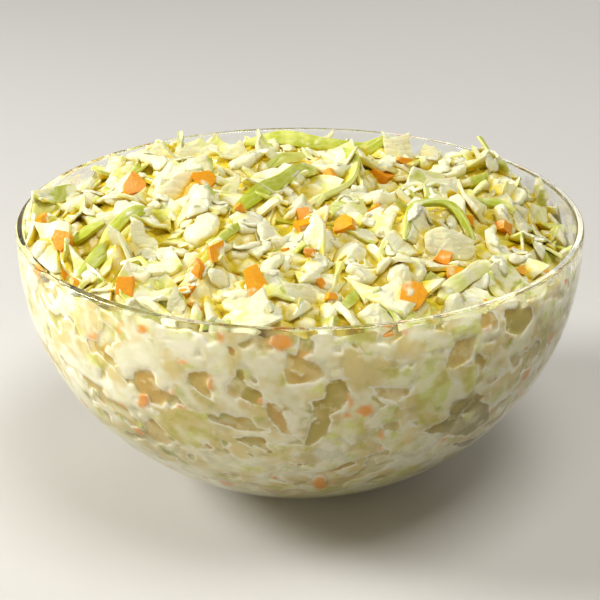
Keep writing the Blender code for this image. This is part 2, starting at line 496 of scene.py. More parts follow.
def slabs(chance, edge, size, aspect, thickness, curl, wedge=0.5, wave=0.0,
          shares=(0.55, 0.97, 1.0, 0.97, 0.55), lift=(1.0, 0.95, 0.0, -0.95, -1.0)):
    """Flat bits: ring shares s of an outline (x, y) over a middle surface
    bend u^2 / 2 + cup v^2 / 2 + twist u v + wave sin(k . (u, v) + phase), with a thickness that
    grows along u as a wedge does."""
    x, y = edge
    count = len(x)
    shares, lift = np.array(shares), np.array(lift)
    half = chance.uniform(*size, (count, 1, 1)) / 2
    narrow = chance.uniform(*aspect, (count, 1, 1))
    u = half * shares[:, None] * x[:, None, :]
    v = half * narrow * shares[:, None] * y[:, None, :]
    bend, cup, twist = (share * chance.normal(0, curl, (count, 1, 1)) / half for share in (1, 0.7, 0.6))
    heading, phase = chance.uniform(0, ROUND, (2, count, 1, 1))
    middle = (bend * u**2 / 2 + cup * v**2 / 2 + twist * u * v
              + wave * (np.sin(0.9 * (u * np.cos(heading) + v * np.sin(heading)) + phase) - np.sin(phase)))
    thick = chance.uniform(*thickness, (count, 1, 1)) / 2
    grown = thick * (1 + wedge * chance.uniform(-1, 1, (count, 1, 1)) * u / half)
    crown = np.zeros((count, 1, 3))
    crown[..., 2] = 1.03 * thick[..., 0]
    return {"points": np.stack([u, v, middle + grown * lift[:, None]], -1),
            "spine": np.stack([u, v, middle], -1), "poles": np.concatenate([crown, -crown], 1),
            "thick": thick.ravel(), "along": u / half}


def band(path, side, over, wide, thick, columns, powers):
    """A rounded band: path + side * wide * cos^p t - over * thick * sin^q t, with signs kept."""
    phase = (np.arange(columns) + 0.5) * ROUND / columns
    across = signed_power(np.cos(phase), powers[0])
    up = -signed_power(np.sin(phase), powers[1])
    return (path[..., None, :] + (wide[..., None] * side)[..., None, :] * across[:, None]
            + (thick[..., None] * over)[..., None, :] * up[:, None])


def strips(chance, count, length, width, thickness, turn=0.8, arch=0.07, stations=10, columns=6):
    """Shreds: a rounded section carried along a path whose heading turns evenly and sways, which
    arches up from its ends, with a slow twist; cut square at both ends."""
    share = np.linspace(-0.5, 0.5, stations)
    long = chance.uniform(*length, (count, 1))
    heading = (chance.normal(0, turn, (count, 1)) * share
               + chance.normal(0, 0.3 * turn, (count, 1)) * np.sin(ROUND * share))
    steps = long / (stations - 1)
    mid = (heading[:, 1:] + heading[:, :-1]) / 2
    start = np.zeros((count, 1))
    x, y = (np.concatenate([start, np.cumsum(turned(mid) * steps, 1)], 1) for turned in (np.cos, np.sin))
    rise = chance.normal(arch, 0.6 * arch, (count, 1)) * long
    z = rise * (np.cos(math.pi * share) - 0.6) + chance.normal(0, 0.02, (count, 1)) * long * np.sin(
        ROUND * share + chance.uniform(0, 6.3, (count, 1)))
    path = np.stack([x - x.mean(1, keepdims=True), y - y.mean(1, keepdims=True), z], -1)
    roll = chance.normal(0, 0.35, (count, 1)) + chance.normal(0, 0.6, (count, 1)) * share
    taper = 1 - 0.35 * np.abs(2 * share) ** 5 * chance.uniform(0.2, 1, (count, 1))
    wide = chance.uniform(*width, (count, 1)) / 2 * taper * (
        1 + 0.12 * np.sin(9 * share + chance.uniform(0, 6.3, (count, 1))))
    thick = chance.uniform(*thickness, (count, 1)) / 2 * np.ones_like(wide)
    side = np.stack([-np.sin(heading) * np.cos(roll), np.cos(heading) * np.cos(roll), np.sin(roll)], -1)
    over = np.stack([np.sin(heading) * np.sin(roll), -np.cos(heading) * np.sin(roll), np.cos(roll)], -1)
    points = band(path, side, over, wide, thick, columns, (0.45, 0.45))
    return {"points": points, "spine": np.repeat(path[:, :, None], columns, 2),
            "poles": path[:, [0, -1]], "thick": thick[:, 0],
            "along": np.broadcast_to(2 * share[:, None], points.shape[:3])}


def chunks(chance, count, size, flatness, squareness, columns=12, rows=5):
    """Solid bits: a rounded box (cos^e b cos^e a, cos^e b sin^e a, sin^e b), sheared and roughened."""
    longitude = np.linspace(0, ROUND, columns, endpoint=False)
    latitude = QUARTER * (1 - 2 * np.arange(1, rows + 1) / (rows + 1))
    level = np.abs(np.cos(latitude)) ** squareness
    x = level[:, None] * signed_power(np.cos(longitude), squareness)
    y = level[:, None] * signed_power(np.sin(longitude), squareness)
    z = np.repeat(signed_power(np.sin(latitude), squareness)[:, None], columns, 1)
    unit = np.stack([x, y, z], -1)[None] * (1 + chance.normal(0, 0.06, (count, rows, columns, 1)))
    long = chance.uniform(*size, (count, 1)) / 2
    scale = np.concatenate([long, long * chance.uniform(0.55, 1.0, (count, 1)),
                            long * chance.uniform(*flatness, (count, 1))], 1)
    shear = chance.normal(0, 0.25, (count, 1, 1))
    taper = 1 + chance.normal(0, 0.2, (count, 1, 1)) * unit[..., 0]
    points = unit * scale[:, None, None]
    points[..., 0] += shear * points[..., 2]
    points[..., 1:] *= taper[..., None]
    poles = np.zeros((count, 2, 3))
    poles[:, 0, 2], poles[:, 1, 2] = scale[:, 2], -scale[:, 2]
    poles[:, :, 0] += shear[:, 0] * poles[:, :, 2]
    return {"points": points, "spine": np.zeros_like(points), "poles": poles, "thick": scale[:, 2],
            "along": points[..., 0] / scale[:, None, None, 0]}


# ---------------------------------------------------------------- the heap
class Heap:
    """A height map of what lies in the bowl, which pieces settle on one after another."""

    def __init__(self, target, start):
        self.target, self.height = target, start
        self.size = len(target)
        self.origin = -(self.size - 1) / 2 * CELL

    def at(self, x, y, field=None):
        """Height at points, straight between the cells' middles."""
        field = self.height if field is None else field
        fx, fy = (np.clip((along - self.origin) / CELL, 0, self.size - 1.001) for along in (x, y))
        i, j = fy.astype(int), fx.astype(int)
        ty, tx = fy - i, fx - j
        low = field[i, j] * (1 - tx) + field[i, j + 1] * tx
        high = field[i + 1, j] * (1 - tx) + field[i + 1, j + 1] * tx
        return low * (1 - ty) + high * ty

    def need(self, chance, power=1.5):
        """A place where the heap is still low, more likely the lower it is."""
        lack = np.clip(self.target - self.height, 0, None) ** power
        total = np.cumsum(lack.ravel())
        row, column = divmod(int(np.searchsorted(total, chance.uniform(0, total[-1]))), self.size)
        jitter = chance.uniform(-0.5, 0.5, 2) * CELL
        return self.origin + column * CELL + jitter[0], self.origin + row * CELL + jitter[1]

    def cover(self, points):
        """Raise the map to a piece's surface, whose grid is first filled in between its points."""
        steps = 3
        closed = np.concatenate([points, points[:, :1]], 1)
        dense = between(between(closed, steps, 0), steps, 1).reshape(-1, 3)
        cells = np.clip(np.rint((dense[:, :2] - self.origin) / CELL).astype(int), 0, self.size - 1)
        np.maximum.at(self.height, (cells[:, 1], cells[:, 0]), dense[:, 2])


def between(grid, times, axis):
    """A grid with straight steps filled in along one axis."""
    grid = np.moveaxis(grid, axis, 0)
    place_at = np.arange((len(grid) - 1) * times + 1) / times
    low = np.minimum(place_at.astype(int), len(grid) - 2)
    share = (place_at - low).reshape(-1, *[1] * (grid.ndim - 1))
    return np.moveaxis(grid[low] * (1 - share) + grid[low + 1] * share, 0, axis)


def blur(field, reach):
    """A square field averaged with bell-shaped weights, reach cells wide, along one axis and then,
    turned over, along the other."""
    half = int(math.ceil(2.5 * reach))
    weights = np.exp(-0.5 * (np.arange(-half, half + 1) / reach) ** 2)
    weights /= weights.sum()
    for _ in range(2):
        wide = np.pad(field, ((half, half), (0, 0)), mode="edge")
        field = sum(weight * wide[k:k + len(field)] for k, weight in enumerate(weights)).T
    return field


def soften_rows(grid):
    """Each value averaged as 1 2 1 with those before and after it in its column."""
    wide = np.concatenate([grid[:1], grid, grid[-1:]])
    return (wide[:-2] + 2 * wide[1:-1] + wide[2:]) / 4


def soften(grid):
    """Each value averaged with its neighbours as 1 2 1, round the columns and along the rows."""
    return soften_rows((np.roll(grid, 1, 1) + 2 * grid + np.roll(grid, -1, 1)) / 4)


def turn_to(normal, yaw):
    """Rotation that lays a piece's own Z along a normal, after a turn by yaw about it."""
    normal = normal / np.linalg.norm(normal)
    ahead = np.array([math.cos(yaw), math.sin(yaw), 0.0])
    ahead = ahead - normal * (ahead @ normal)
    ahead /= np.linalg.norm(ahead)
    return np.stack([ahead, np.cross(normal, ahead), normal], 1)


FARTHEST_DROP, FARTHEST_RISE = 3.5, 2.5  # how far draping moves a point down or up, before its share


def settle(heap, shape, number, x, y, yaw, tilt, lean, drape, sink, lift=0.0):
    """Lay one piece on the heap, bend it part of the way onto what is under it, and cover the map.

    The piece first lies in the plane that best fits the heap under it, then tips by tilt towards
    lean. It rests where a share sink of its underside would be in the heap, and then each point
    moves by a share drape of its distance to the heap.
    """
    parts = [shape[part][number] for part in ("points", "spine", "poles")]
    foot = parts[0].reshape(-1, 3) @ turn_to(np.array([0.0, 0.0, 1.0]), yaw).T + (x, y, 0)
    plane = np.stack([foot[:, 0] - x, foot[:, 1] - y, np.ones(len(foot))], 1)
    slope = np.linalg.lstsq(plane, heap.at(foot[:, 0], foot[:, 1]), rcond=None)[0]
    normal = np.array([-slope[0], -slope[1], 1.0])
    normal /= np.linalg.norm(normal)
    normal = normal + math.tan(tilt) * np.array([math.cos(lean), math.sin(lean), 0.0])
    turned = turn_to(normal, yaw).T
    lower = parts[0].reshape(-1, 3) @ turned
    reach = heap.at(lower[:, 0] + x, lower[:, 1] + y) - lower[:, 2]
    move = np.array([x, y, np.quantile(reach, 1 - sink) + lift])
    points, spine, poles = (part @ turned + move for part in parts)
    if drape:
        gap = spine[..., 2] - shape["thick"][number] - heap.at(spine[..., 0], spine[..., 1])
        shift = -drape * np.clip(gap, -FARTHEST_RISE, FARTHEST_DROP)
        shift = soften_rows((shift + np.roll(shift, 1, 1) + np.roll(shift, -1, 1)) / 3)
        points[..., 2] += shift
        poles[:, 2] += shift[[0, -1]].mean(1)
    points, poles = keep_inside(points), keep_inside(poles)
    heap.cover(points)
    return points, poles


def keep_inside(points):
    """Points beyond the inner wall are pressed onto it, just into the glass, and near the rim inward
    of it."""
    near_rim = points[..., 2] > WALL_HEIGHT - NEAR_RIM
    limit = inner_radius(points[..., 2]) + INTO_GLASS - 0.5 * near_rim
    share = np.minimum(1, limit / np.maximum(np.hypot(points[..., 0], points[..., 1]), 1e-6))
    return np.concatenate([points[..., :2] * share[..., None], points[..., 2:]], -1)


def salad_top():
    """The finished top at each cell of the height map, from the CAD heap: the mean of its top's
    vertices round the cell, weighted by a bell, and the fill height round the wall. Gives x and y
    too."""
    bell, spokes = 3.5, 64
    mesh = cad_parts["coleslaw"].data
    points = np.zeros(len(mesh.vertices) * 3)
    mesh.vertices.foreach_get("co", points)
    points = points.reshape(-1, 3) / MM
    on_wall = np.hypot(points[:, 0], points[:, 1]) > inner_radius(points[:, 2]) - 0.7
    top, wall = points[~on_wall & (points[:, 2] > HEIGHT / 2)], points[on_wall]
    spoke = np.degrees(np.arctan2(wall[:, 1], wall[:, 0])) / (360 / spokes)
    spoke = np.round(spoke).astype(int) % spokes
    highest = np.array([wall[spoke == k][:, 2].max() for k in range(spokes)])
    edge = polar(inner_radius(highest), np.arange(spokes) * ROUND / spokes, highest)
    known = np.concatenate([top, edge])
    half = int(RADIUS / CELL) + 2
    axis = np.arange(-half, half + 1) * CELL
    x, y = np.meshgrid(axis, axis)
    square = (x[..., None] - known[:, 0]) ** 2 + (y[..., None] - known[:, 1]) ** 2
    near = np.exp(-square / (2 * bell**2))
    return (near @ known[:, 2]) / (near.sum(-1) + 1e-12), x, y


# Painted shade: what this gives darkens the pieces' colour to golden in the dressing film.
def occlusion(heap, points, normals):
    """How far the heap closes round each point, from 0 in the open to 1: one less the mean over eight
    directions of 1 - sin(horizon), the ones the surface faces counting more. The view is taken a
    little way off the surface, so that a piece does not close in itself."""
    off_surface, least_rise = (1.5, 1.5, 0.8), 0.3
    x, y, z = (points + normals * off_surface).T
    open_sky, weights = np.zeros((2, len(points)))
    for heading in np.arange(8) * math.pi / 4:
        steepest = np.zeros(len(points))
        for reach in (1.2, 2.4, 4.0, 6.5, 10.0):
            there = heap.at(x + reach * math.cos(heading), y + reach * math.sin(heading))
            steepest = np.maximum(steepest, (there - z - least_rise) / reach)
        weight = 1.1 + normals[:, 0] * math.cos(heading) + normals[:, 1] * math.sin(heading)
        open_sky += weight * (1 - steepest / np.hypot(1, steepest))
        weights += weight
    under = np.clip((heap.at(x, y) - z - 0.6) / 2.5, 0, 1)
    return 1 - open_sky / weights * (1 - 0.5 * under)


# Where the finished top stands higher or lower than the CAD heap's: x, y, reach of the bell, rise.
SWELLS = ((50, 38, 14, 5.0), (56, 12, 12, 2.5), (-44, 40, 10, 3.0), (-14, 56, 9, 2.5),
          (10, 66, 12, -4.5), (-64, 32, 9, -3.5))

# Leaf that stands up out of the heap: depth y and height z of its middle, thickness, tint at its foot
# and at its top, then its outline as (x, up) points.
STANDING = (
    (34, 84.2, 1.6, -0.45, -0.2, ((24.1, 5.9), (26.2, 3.2), (29.2, 3.2), (33.7, 5), (32.8, 2),
      (34, -2.2), (35.2, -5.5), (30.7, -8), (26.5, -6), (25.3, -0.1))),
    (33.8, 82.2, 1.4, -0.45, -0.1, ((37.3, 3.4), (39.1, 2.2), (40.3, 2.8), (41.9, 0.4), (41.6, -1.7),
      (38.5, -4.2), (35.2, -5.1), (35.8, 0.4))),
    (33, 81.6, 1, 0.1, 0.4, ((51.3, 4), (53, 3.1), (54.5, 1), (56.6, 2.8), (58.1, 1.6), (59.9, -1.4),
      (58.1, -5), (55.7, -6.2), (53.3, -1.4))),
    (16, 77, 1.8, 0.9, 0.8, ((69, 4.1), (70.6, 3.8), (71.5, 1.5), (73, -2.3), (70.6, -5.3), (68, -3.8))),
    (31.3, 82.7, 1.5, -0.35, -0.1, ((-44, 4), (-41, 3.7), (-40.2, 1.3), (-37.8, -0.5), (-36.6, -3.2),
      (-41.9, -4.4), (-46.1, -2.3), (-46.7, 0.1), (-44.3, 1.6))),
    (28.5, 85.3, 1.3, -0.35, 0, ((-33.6, 2.1), (-31.2, 2.7), (-29.7, 3.9), (-28.3, 2.4), (-23.8, 0.9),
      (-25, -2.1), (-28.3, -4.7), (-34.5, -4.1), (-36.6, -1.2))),
    (24, 85, 1.3, -0.25, -0.1, ((-17, 5.1), (-16.2, 2.2), (-14.1, -1), (-17.6, -4.6), (-24.7, -3.4),
      (-24.7, -0.4), (-20.6, 2.2))),
    (52, 80.5, 1, -0.35, -0.2, ((5, 0), (8.1, 1.6), (10.9, 3.7), (10.2, 0.6), (9.6, -4.8), (6.2, -5.1))),
    (12, 75.8, 1, -0.15, 0, ((-67.3, 3.9), (-65.3, 3.1), (-62.3, 0.5), (-60, -2.8), (-62.5, -3.9),
      (-65.3, -0.8))),
    (22.6, 78.9, 1.4, 0.35, 0.3, ((-56.2, 2), (-53, 2.9), (-49.4, 4.6), (-46.7, 1.7), (-48.8, -3.1),
      (-53.8, -5.4), (-56.2, -2.5))),
    (21.6, 80.6, 3.4, -0.95, -0.8, ((45.7, 2), (47.8, 3.5), (51, 3.2), (53.1, 0.8), (52.5, -2.7),
      (48.9, -4.2), (46, -2.1))),
    (12.4, 85.7, 1.6, 0.8, 0.7, ((-30.9, 1.9), (-27.7, 3.6), (-25.4, 2.5), (-24.8, -1), (-27.4, -3.9),
      (-30.6, -2.7))),
    (-3.4, 83.7, 1.8, -0.15, -0.3, ((-33.7, 5.5), (-27.5, 6.1), (-26.4, 2.7), (-29.2, -2.3),
      (-36.5, -6.3), (-42.1, -5.7), (-41.5, -0.1))),
    (-11.2, 85.5, 1.3, 0.45, -0.1, ((-17.1, 6.4), (-16.6, 2.5), (-18.8, -3), (-21.5, -5.2),
      (-23.2, -3), (-21.5, 2))),
    (-65, 76.9, 1.2, 0.45, 0.6, ((-4, 5.2), (2, 4.4), (4.5, 2), (4, -3.5), (1, -5), (-6, -3.5),
      (-7.5, 0.5))),
    (-65, 76.5, 1.2, -0.45, -0.4, ((-30.8, 4.6), (-28.3, -0.4), (-29.3, -3.9), (-33.2, -1.9),
      (-32.8, 1.6))),
    (-33.7, 79.8, 4, -1.1, -0.9, ((32.6, 3.1), (37.1, 4.7), (42.9, 3.1), (47.2, -1.2), (45.1, -4.4),
      (37.1, -4.4), (32.9, -1.2))),
    (-33.7, 80.2, 1.6, 0.05, 0, ((-45, 5.8), (-41.9, 6.3), (-40.8, 2.1), (-37.6, 1), (-36.6, -4.8),
      (-41.9, -6.9), (-45, -3.8))),
    (-24.2, 81.4, 1.4, -0.05, -0.2, ((-56.1, 1.6), (-50.7, 3.2), (-46.4, 1.1), (-49.1, -2.7),
      (-55, -3.2))),
    (-6.5, 80.2, 1.2, -0.05, -0.1, ((41.4, 1.7), (47.6, 3.3), (52, 0.5), (49.8, -3.9), (42.5, -1.7))),
)

# Long strips on top: width, thickness, roll in degrees, tint from and to, then (x, y, lift) points.
RIBBONS = (
    (4.2, 0.9, 62, 0.65, 0.9, ((-16.7, 47, 3.2), (-11.7, 47, 3.6), (-5.8, 46, 4), (0, 44, 3.8),
      (6.7, 42, 3.6), (13.1, 40, 3.2), (19.7, 38, 2.8), (25.7, 36, 2.6))),
    (4.4, 1.3, 38, 1, 0.7, ((-18.1, -20.6, 0.8), (-14.2, -14.6, 1.6), (-9.6, -8, 2), (-5.6, -1.5, 2.2),
      (-0.6, 4.9, 1.8), (4.6, 10.3, 1))),
    (2.8, 1.5, 20, 0.7, 1.1, ((27.8, -33.9, 0.4), (29.1, -28.2, 2.2), (31.8, -21, 3.4),
      (35.7, -16.8, 3.8), (39.6, -15, 3.6), (42.6, -17, 2.8), (44.8, -21.1, 1.6), (46.6, -26, 0.2))),
    (4, 1.8, 35, 0.8, 0.2, ((13.6, 23.7, 2.6), (15.8, 16.1, 2.6), (14.3, 6.2, 1.8), (10.7, -1, 1.4),
      (6.1, -7, 1), (2.2, -10.9, 0.6))),
    (4, 1.6, 40, 1, 0.4, ((-57.6, -44.9, 0.8), (-54.4, -41.3, 1.6), (-50.7, -36.4, 2),
      (-46.9, -32.1, 1.8), (-42.7, -29.7, 1.2))),
    (3.6, 1.3, 30, 0.5, 0.9, ((-53.2, -32.7, 1), (-50.5, -26.9, 1.8), (-46.4, -23.8, 1.8),
      (-41.8, -20.8, 1))),
    (2.8, 1.5, 30, 0.4, 0.9, ((-28, -53.3, 0.6), (-24.8, -46.2, 1.4), (-20.4, -39, 1.8),
      (-16.4, -32, 1))),
    (4.6, 2, 25, 0.3, 0.2, ((35.2, -60.9, 0.6), (38.7, -54.8, 1.4), (43.9, -47.6, 1.6),
      (49.2, -41.1, 1))),
    (3.2, 1.4, 30, 0.9, 0.6, ((47.6, -5.8, 0.8), (52.6, -0.9, 1.6), (56.7, 0, 1.6), (60.6, -1.6, 0.8))),
)

# Carrot on top: x, y, width and height of each cut, in places that show.
CARROTS = (
    (-63.6, -30.7, 5.2, 5.3), (-47.7, 4.9, 5.8, 7.8), (-26.6, -3.3, 6.4, 4.4), (-30.6, -8.1, 3.2, 8.1),
    (0.8, -20.4, 3.8, 5.6), (12, -29.4, 5.5, 5.6), (4.1, 20, 3.2, 3.4), (45.7, -19.1, 3.5, 3.7),
    (56.2, -15.2, 4.3, 4.1), (39.7, -46.7, 4.6, 3.7), (27.8, -62.8, 6.4, 6.9), (-21.5, -50.7, 4.1, 7.5),
    (-11, -61.3, 7, 6.9), (-25.8, -56.8, 2.3, 4.4), (-44.3, -56.6, 7.2, 5), (-71.2, -14.1, 2.9, 4.4),
    (-58.3, -48.7, 2, 2.2), (57.6, -39.3, 3.5, 2.5), (1.6, -31.8, 5.8, 3.1), (2.8, -47.8, 2.3, 1.9),
    (30.8, 24.2, 4.1, 1.9), (7.5, -64.9, 2.9, 1.9), (-16.1, -27.1, 2.3, 1.9), (18.2, -43.1, 2.6, 2.2),
    (-3.9, -38, 2.3, 1.9),
)

# Ring shares of a standing leaf from one side to the other, with how far out each lies.
LEAF_RINGS = np.array([(0.45, 1.0), (0.8, 1.0), (0.97, 0.9), (1.0, 0.0), (0.97, -0.9), (0.8, -1.0),
                       (0.45, -1.0)])
LEAF_COLUMNS = 24
BAND_STATIONS, BAND_COLUMNS = 18, 8
DICE_ROWS, DICE_COLUMNS = 5, 12


def standing_leaf(chance, row):
    """One upright slab: its outline drawn in a plane that leans back by LEAN, ring shares of it about
    its middle, and a surface that waves by w sin(a x + p) + cup r^2 along the plane's normal."""
    depth, height, thickness, foot, head, outline = row
    corners = np.array(outline)
    x, up = corners.T
    if np.sum(x * np.roll(up, -1) - np.roll(x, -1) * up) <= 0:
        corners = corners[::-1]
    closed = np.concatenate([corners, corners[:1]])
    length = np.concatenate([[0], np.cumsum(np.hypot(*np.diff(closed, axis=0).T))])
    along = np.arange(LEAF_COLUMNS) * length[-1] / LEAF_COLUMNS
    edge = np.stack([np.interp(along, length, closed[:, k]) for k in (0, 1)], -1)
    edge += chance.normal(0, 0.16, edge.shape)
    middle = edge.mean(0)
    flat = middle + LEAF_RINGS[:, 0, None, None] * (edge - middle)
    flat = np.concatenate([flat.reshape(-1, 2), [middle, middle]])
    x, up = flat.T
    away_x, away_up = (flat - middle).T
    bulge = (chance.uniform(0.3, 0.7) * np.sin(0.7 * x + 0.4 * up + chance.uniform(0, 6.3))
             + chance.normal(0, 0.035) * away_x**2 + chance.normal(0, 0.02) * away_x * away_up)
    bulge += thickness / 2 * np.concatenate([np.repeat(LEAF_RINGS[:, 1], LEAF_COLUMNS), [1, -1]])
    points = np.stack([x, depth + up * math.sin(LEAN) - bulge * math.cos(LEAN),
                       height + up * math.cos(LEAN) + bulge * math.sin(LEAN)], -1)
    rise = np.clip((up - corners[:, 1].min()) / np.ptp(corners[:, 1]), 0, 1)
    return points, 0.2 + foot + (head - foot) * rise, flat


def ribbon(heap, row):
    """One long strip: a rounded band carried along a smoothed path above the heap. At each station the
    side is level times cos(roll) plus upright times sin(roll)."""
    wide, thick, roll, first, last, path = row
    path = np.array(path)
    path[:, 2] += heap.at(path[:, 0], path[:, 1], blur(heap.height, 2.0)) - 0.6
    length = np.concatenate([[0], np.cumsum(np.linalg.norm(np.diff(path, axis=0), axis=1))])
    share = np.linspace(0, 1, BAND_STATIONS)
    line = np.stack([np.interp(share * length[-1], length, path[:, k]) for k in range(3)], -1)
    for _ in range(4):
        line[1:-1] = (line[:-2] + 2 * line[1:-1] + line[2:]) / 4
    ahead = np.gradient(line, axis=0)
    ahead /= np.linalg.norm(ahead, axis=1, keepdims=True)
    level = np.cross((0, 0, 1), ahead)
    level /= np.linalg.norm(level, axis=1, keepdims=True)
    turn = math.radians(roll) + 0.25 * np.sin(5 * share + wide)[:, None]
    side = level * np.cos(turn) + np.cross(ahead, level) * np.sin(turn)
    taper = 1 - 0.45 * np.abs(2 * share - 1) ** 6 + 0.10 * np.sin(11 * share + wide)
    points = band(line, side, np.cross(ahead, side), wide / 2 * taper,
                  np.full(BAND_STATIONS, thick / 2), BAND_COLUMNS, (0.25, 0.35))
    across = signed_power(np.cos((np.arange(BAND_COLUMNS) + 0.5) * ROUND / BAND_COLUMNS), 0.25)
    tint = first + (last - first) * np.repeat(share, BAND_COLUMNS)
    local = np.stack([np.repeat(share * length[-1], BAND_COLUMNS),
                      np.tile(across * wide / 2, BAND_STATIONS)], -1)
    return (np.concatenate([points.reshape(-1, 3), line[[0, -1]]]), np.append(tint, (first, last)),
            np.concatenate([local, [(0, 0), (length[-1], 0)]]))


def make_top_pieces(heap, chance):
    """The pieces that stand out on top, each at its own place. Gives the name, material and crisp
    angle of each kind, its rows and columns, and the points, tint and local coordinates of each of
    its pieces."""
    leaves = [standing_leaf(chance, row) for row in STANDING]
    for points, _, _ in leaves:
        heap.cover(points[:-2].reshape(len(LEAF_RINGS), LEAF_COLUMNS, 3))
    _, _, wide, high = np.array(CARROTS).T[..., None, None]
    dice = slabs(chance, cut_outline(chance, len(CARROTS), DICE_COLUMNS, (4, 4, 5), 0.03),
                 (1.3 * wide, 1.3 * wide), (high / wide, high / wide), (1.8, 3.0), 0.05)
    carrots = []
    for number, (x, y, _, _) in enumerate(CARROTS):
        points, poles = settle(heap, dice, number, x, y, chance.normal(0, 0.2),
                               abs(chance.normal(0.75, 0.15)), -QUARTER + chance.normal(0, 0.5),
                               0.0, 0.3, 0.3)
        solid = np.concatenate([points.reshape(-1, 3), poles])
        carrots.append((solid, np.full(len(solid), chance.uniform(0.2, 1.0)), solid[:, [0, 2]]))
    bands = [ribbon(heap, row) for row in RIBBONS]
    for points, _, _ in bands:
        heap.cover(points[:-2].reshape(BAND_STATIONS, BAND_COLUMNS, 3))
    return (("standing_leaves", "leaf", 45, len(LEAF_RINGS), LEAF_COLUMNS, leaves),
            ("top_carrots", "carrot", 55, DICE_ROWS, DICE_COLUMNS, carrots),
            ("long_strips", "green", 50, BAND_STATIONS, BAND_COLUMNS, bands))


KINDS = {
    # name: (material, crisp angle, drape onto the heap, tint from and to, change of tint along)
    "cabbage_leaf": ("leaf", 45, 0.35, (0.1, 0.85), 0.45),
    "white_cabbage": ("leaf", None, 0.3, (-0.1, 0.4), 0.3),
    "cream_lumps": ("rib", None, 0.3, (-0.3, 0.2), 0.2),
    "green_leaf": ("leaf", 45, 0.4, (0.5, 1.0), 0.4),
    "cabbage_ribs": ("rib", None, 0.1, (-0.3, 0.15), 0.2),
    "cabbage_shreds": ("leaf", 50, 0.45, (-0.1, 0.6), 0.4),
    "green_shreds": ("green", 50, 0.4, (0.6, 1.1), 0.4),
    "carrot_dice": ("carrot", 55, 0.0, (0.1, 0.9), 0.2),
    "crumbs": ("rib", None, 0.0, (-0.3, 0.5), 0.0),
    "dressing_dabs": ("dressing", None, 0.95, (0.0, 1.0), 0.0),
}


def make_shapes(chance):
    """The pieces of every kind, before they are laid: (count, sizes, aspects, thicknesses, curl)."""
    def cut(count, *sizes, corners=(3, 4, 4, 5), ragged=0.05, **form):
        return slabs(chance, cut_outline(chance, count, 12, corners, ragged), *sizes, **form)

    def lobed(count, columns, *sizes, **form):
        return slabs(chance, lobed_outline(chance, count, columns), *sizes, **form)

    return {
        "cabbage_leaf": cut(360, (13, 23), (0.5, 0.95), (0.7, 1.6), 0.55, ragged=0.08, wave=0.45),
        "white_cabbage": cut(240, (9, 17), (0.5, 1.0), (1.3, 2.8), 0.3, wave=0.2),
        "cream_lumps": lobed(150, 12, (6, 13), (0.55, 0.9), (2.2, 4.4), 0.15, wave=0.3,
                             shares=(0.42, 0.78, 0.98, 0.9, 0.55), lift=(1.0, 0.72, 0.0, -0.6, -1.0)),
        "green_leaf": cut(150, (10, 18), (0.35, 0.8), (0.7, 1.5), 0.5, ragged=0.08, wave=0.4),
        "cabbage_ribs": cut(140, (5, 11), (0.5, 0.95), (2.4, 4.2), 0.1, ragged=0.08,
                            shares=(0.5, 0.85, 1.0, 0.85, 0.5), lift=(1.0, 0.8, 0.0, -0.8, -1.0)),
        "cabbage_shreds": strips(chance, 150, (8, 22), (2.2, 4.0), (1.0, 2.0)),
        "green_shreds": strips(chance, 75, (12, 28), (2.4, 4.2), (0.9, 1.6)),
        "carrot_dice": cut(90, (4.0, 8.0), (0.6, 1.0), (1.6, 3.2), 0.05, corners=(4, 4, 5),
                           ragged=0.03),
        "crumbs": chunks(chance, 170, (1.4, 3.2), (0.4, 0.8), 0.6, 6, 3),
        "dressing_dabs": lobed(230, 14, (4, 10), (0.5, 0.9), (0.7, 1.4), 0.0, 0.3,
                               shares=(0.38, 0.68, 0.90, 1.0, 0.6), lift=(1.0, 0.86, 0.5, -0.4, -1.0)),
    }


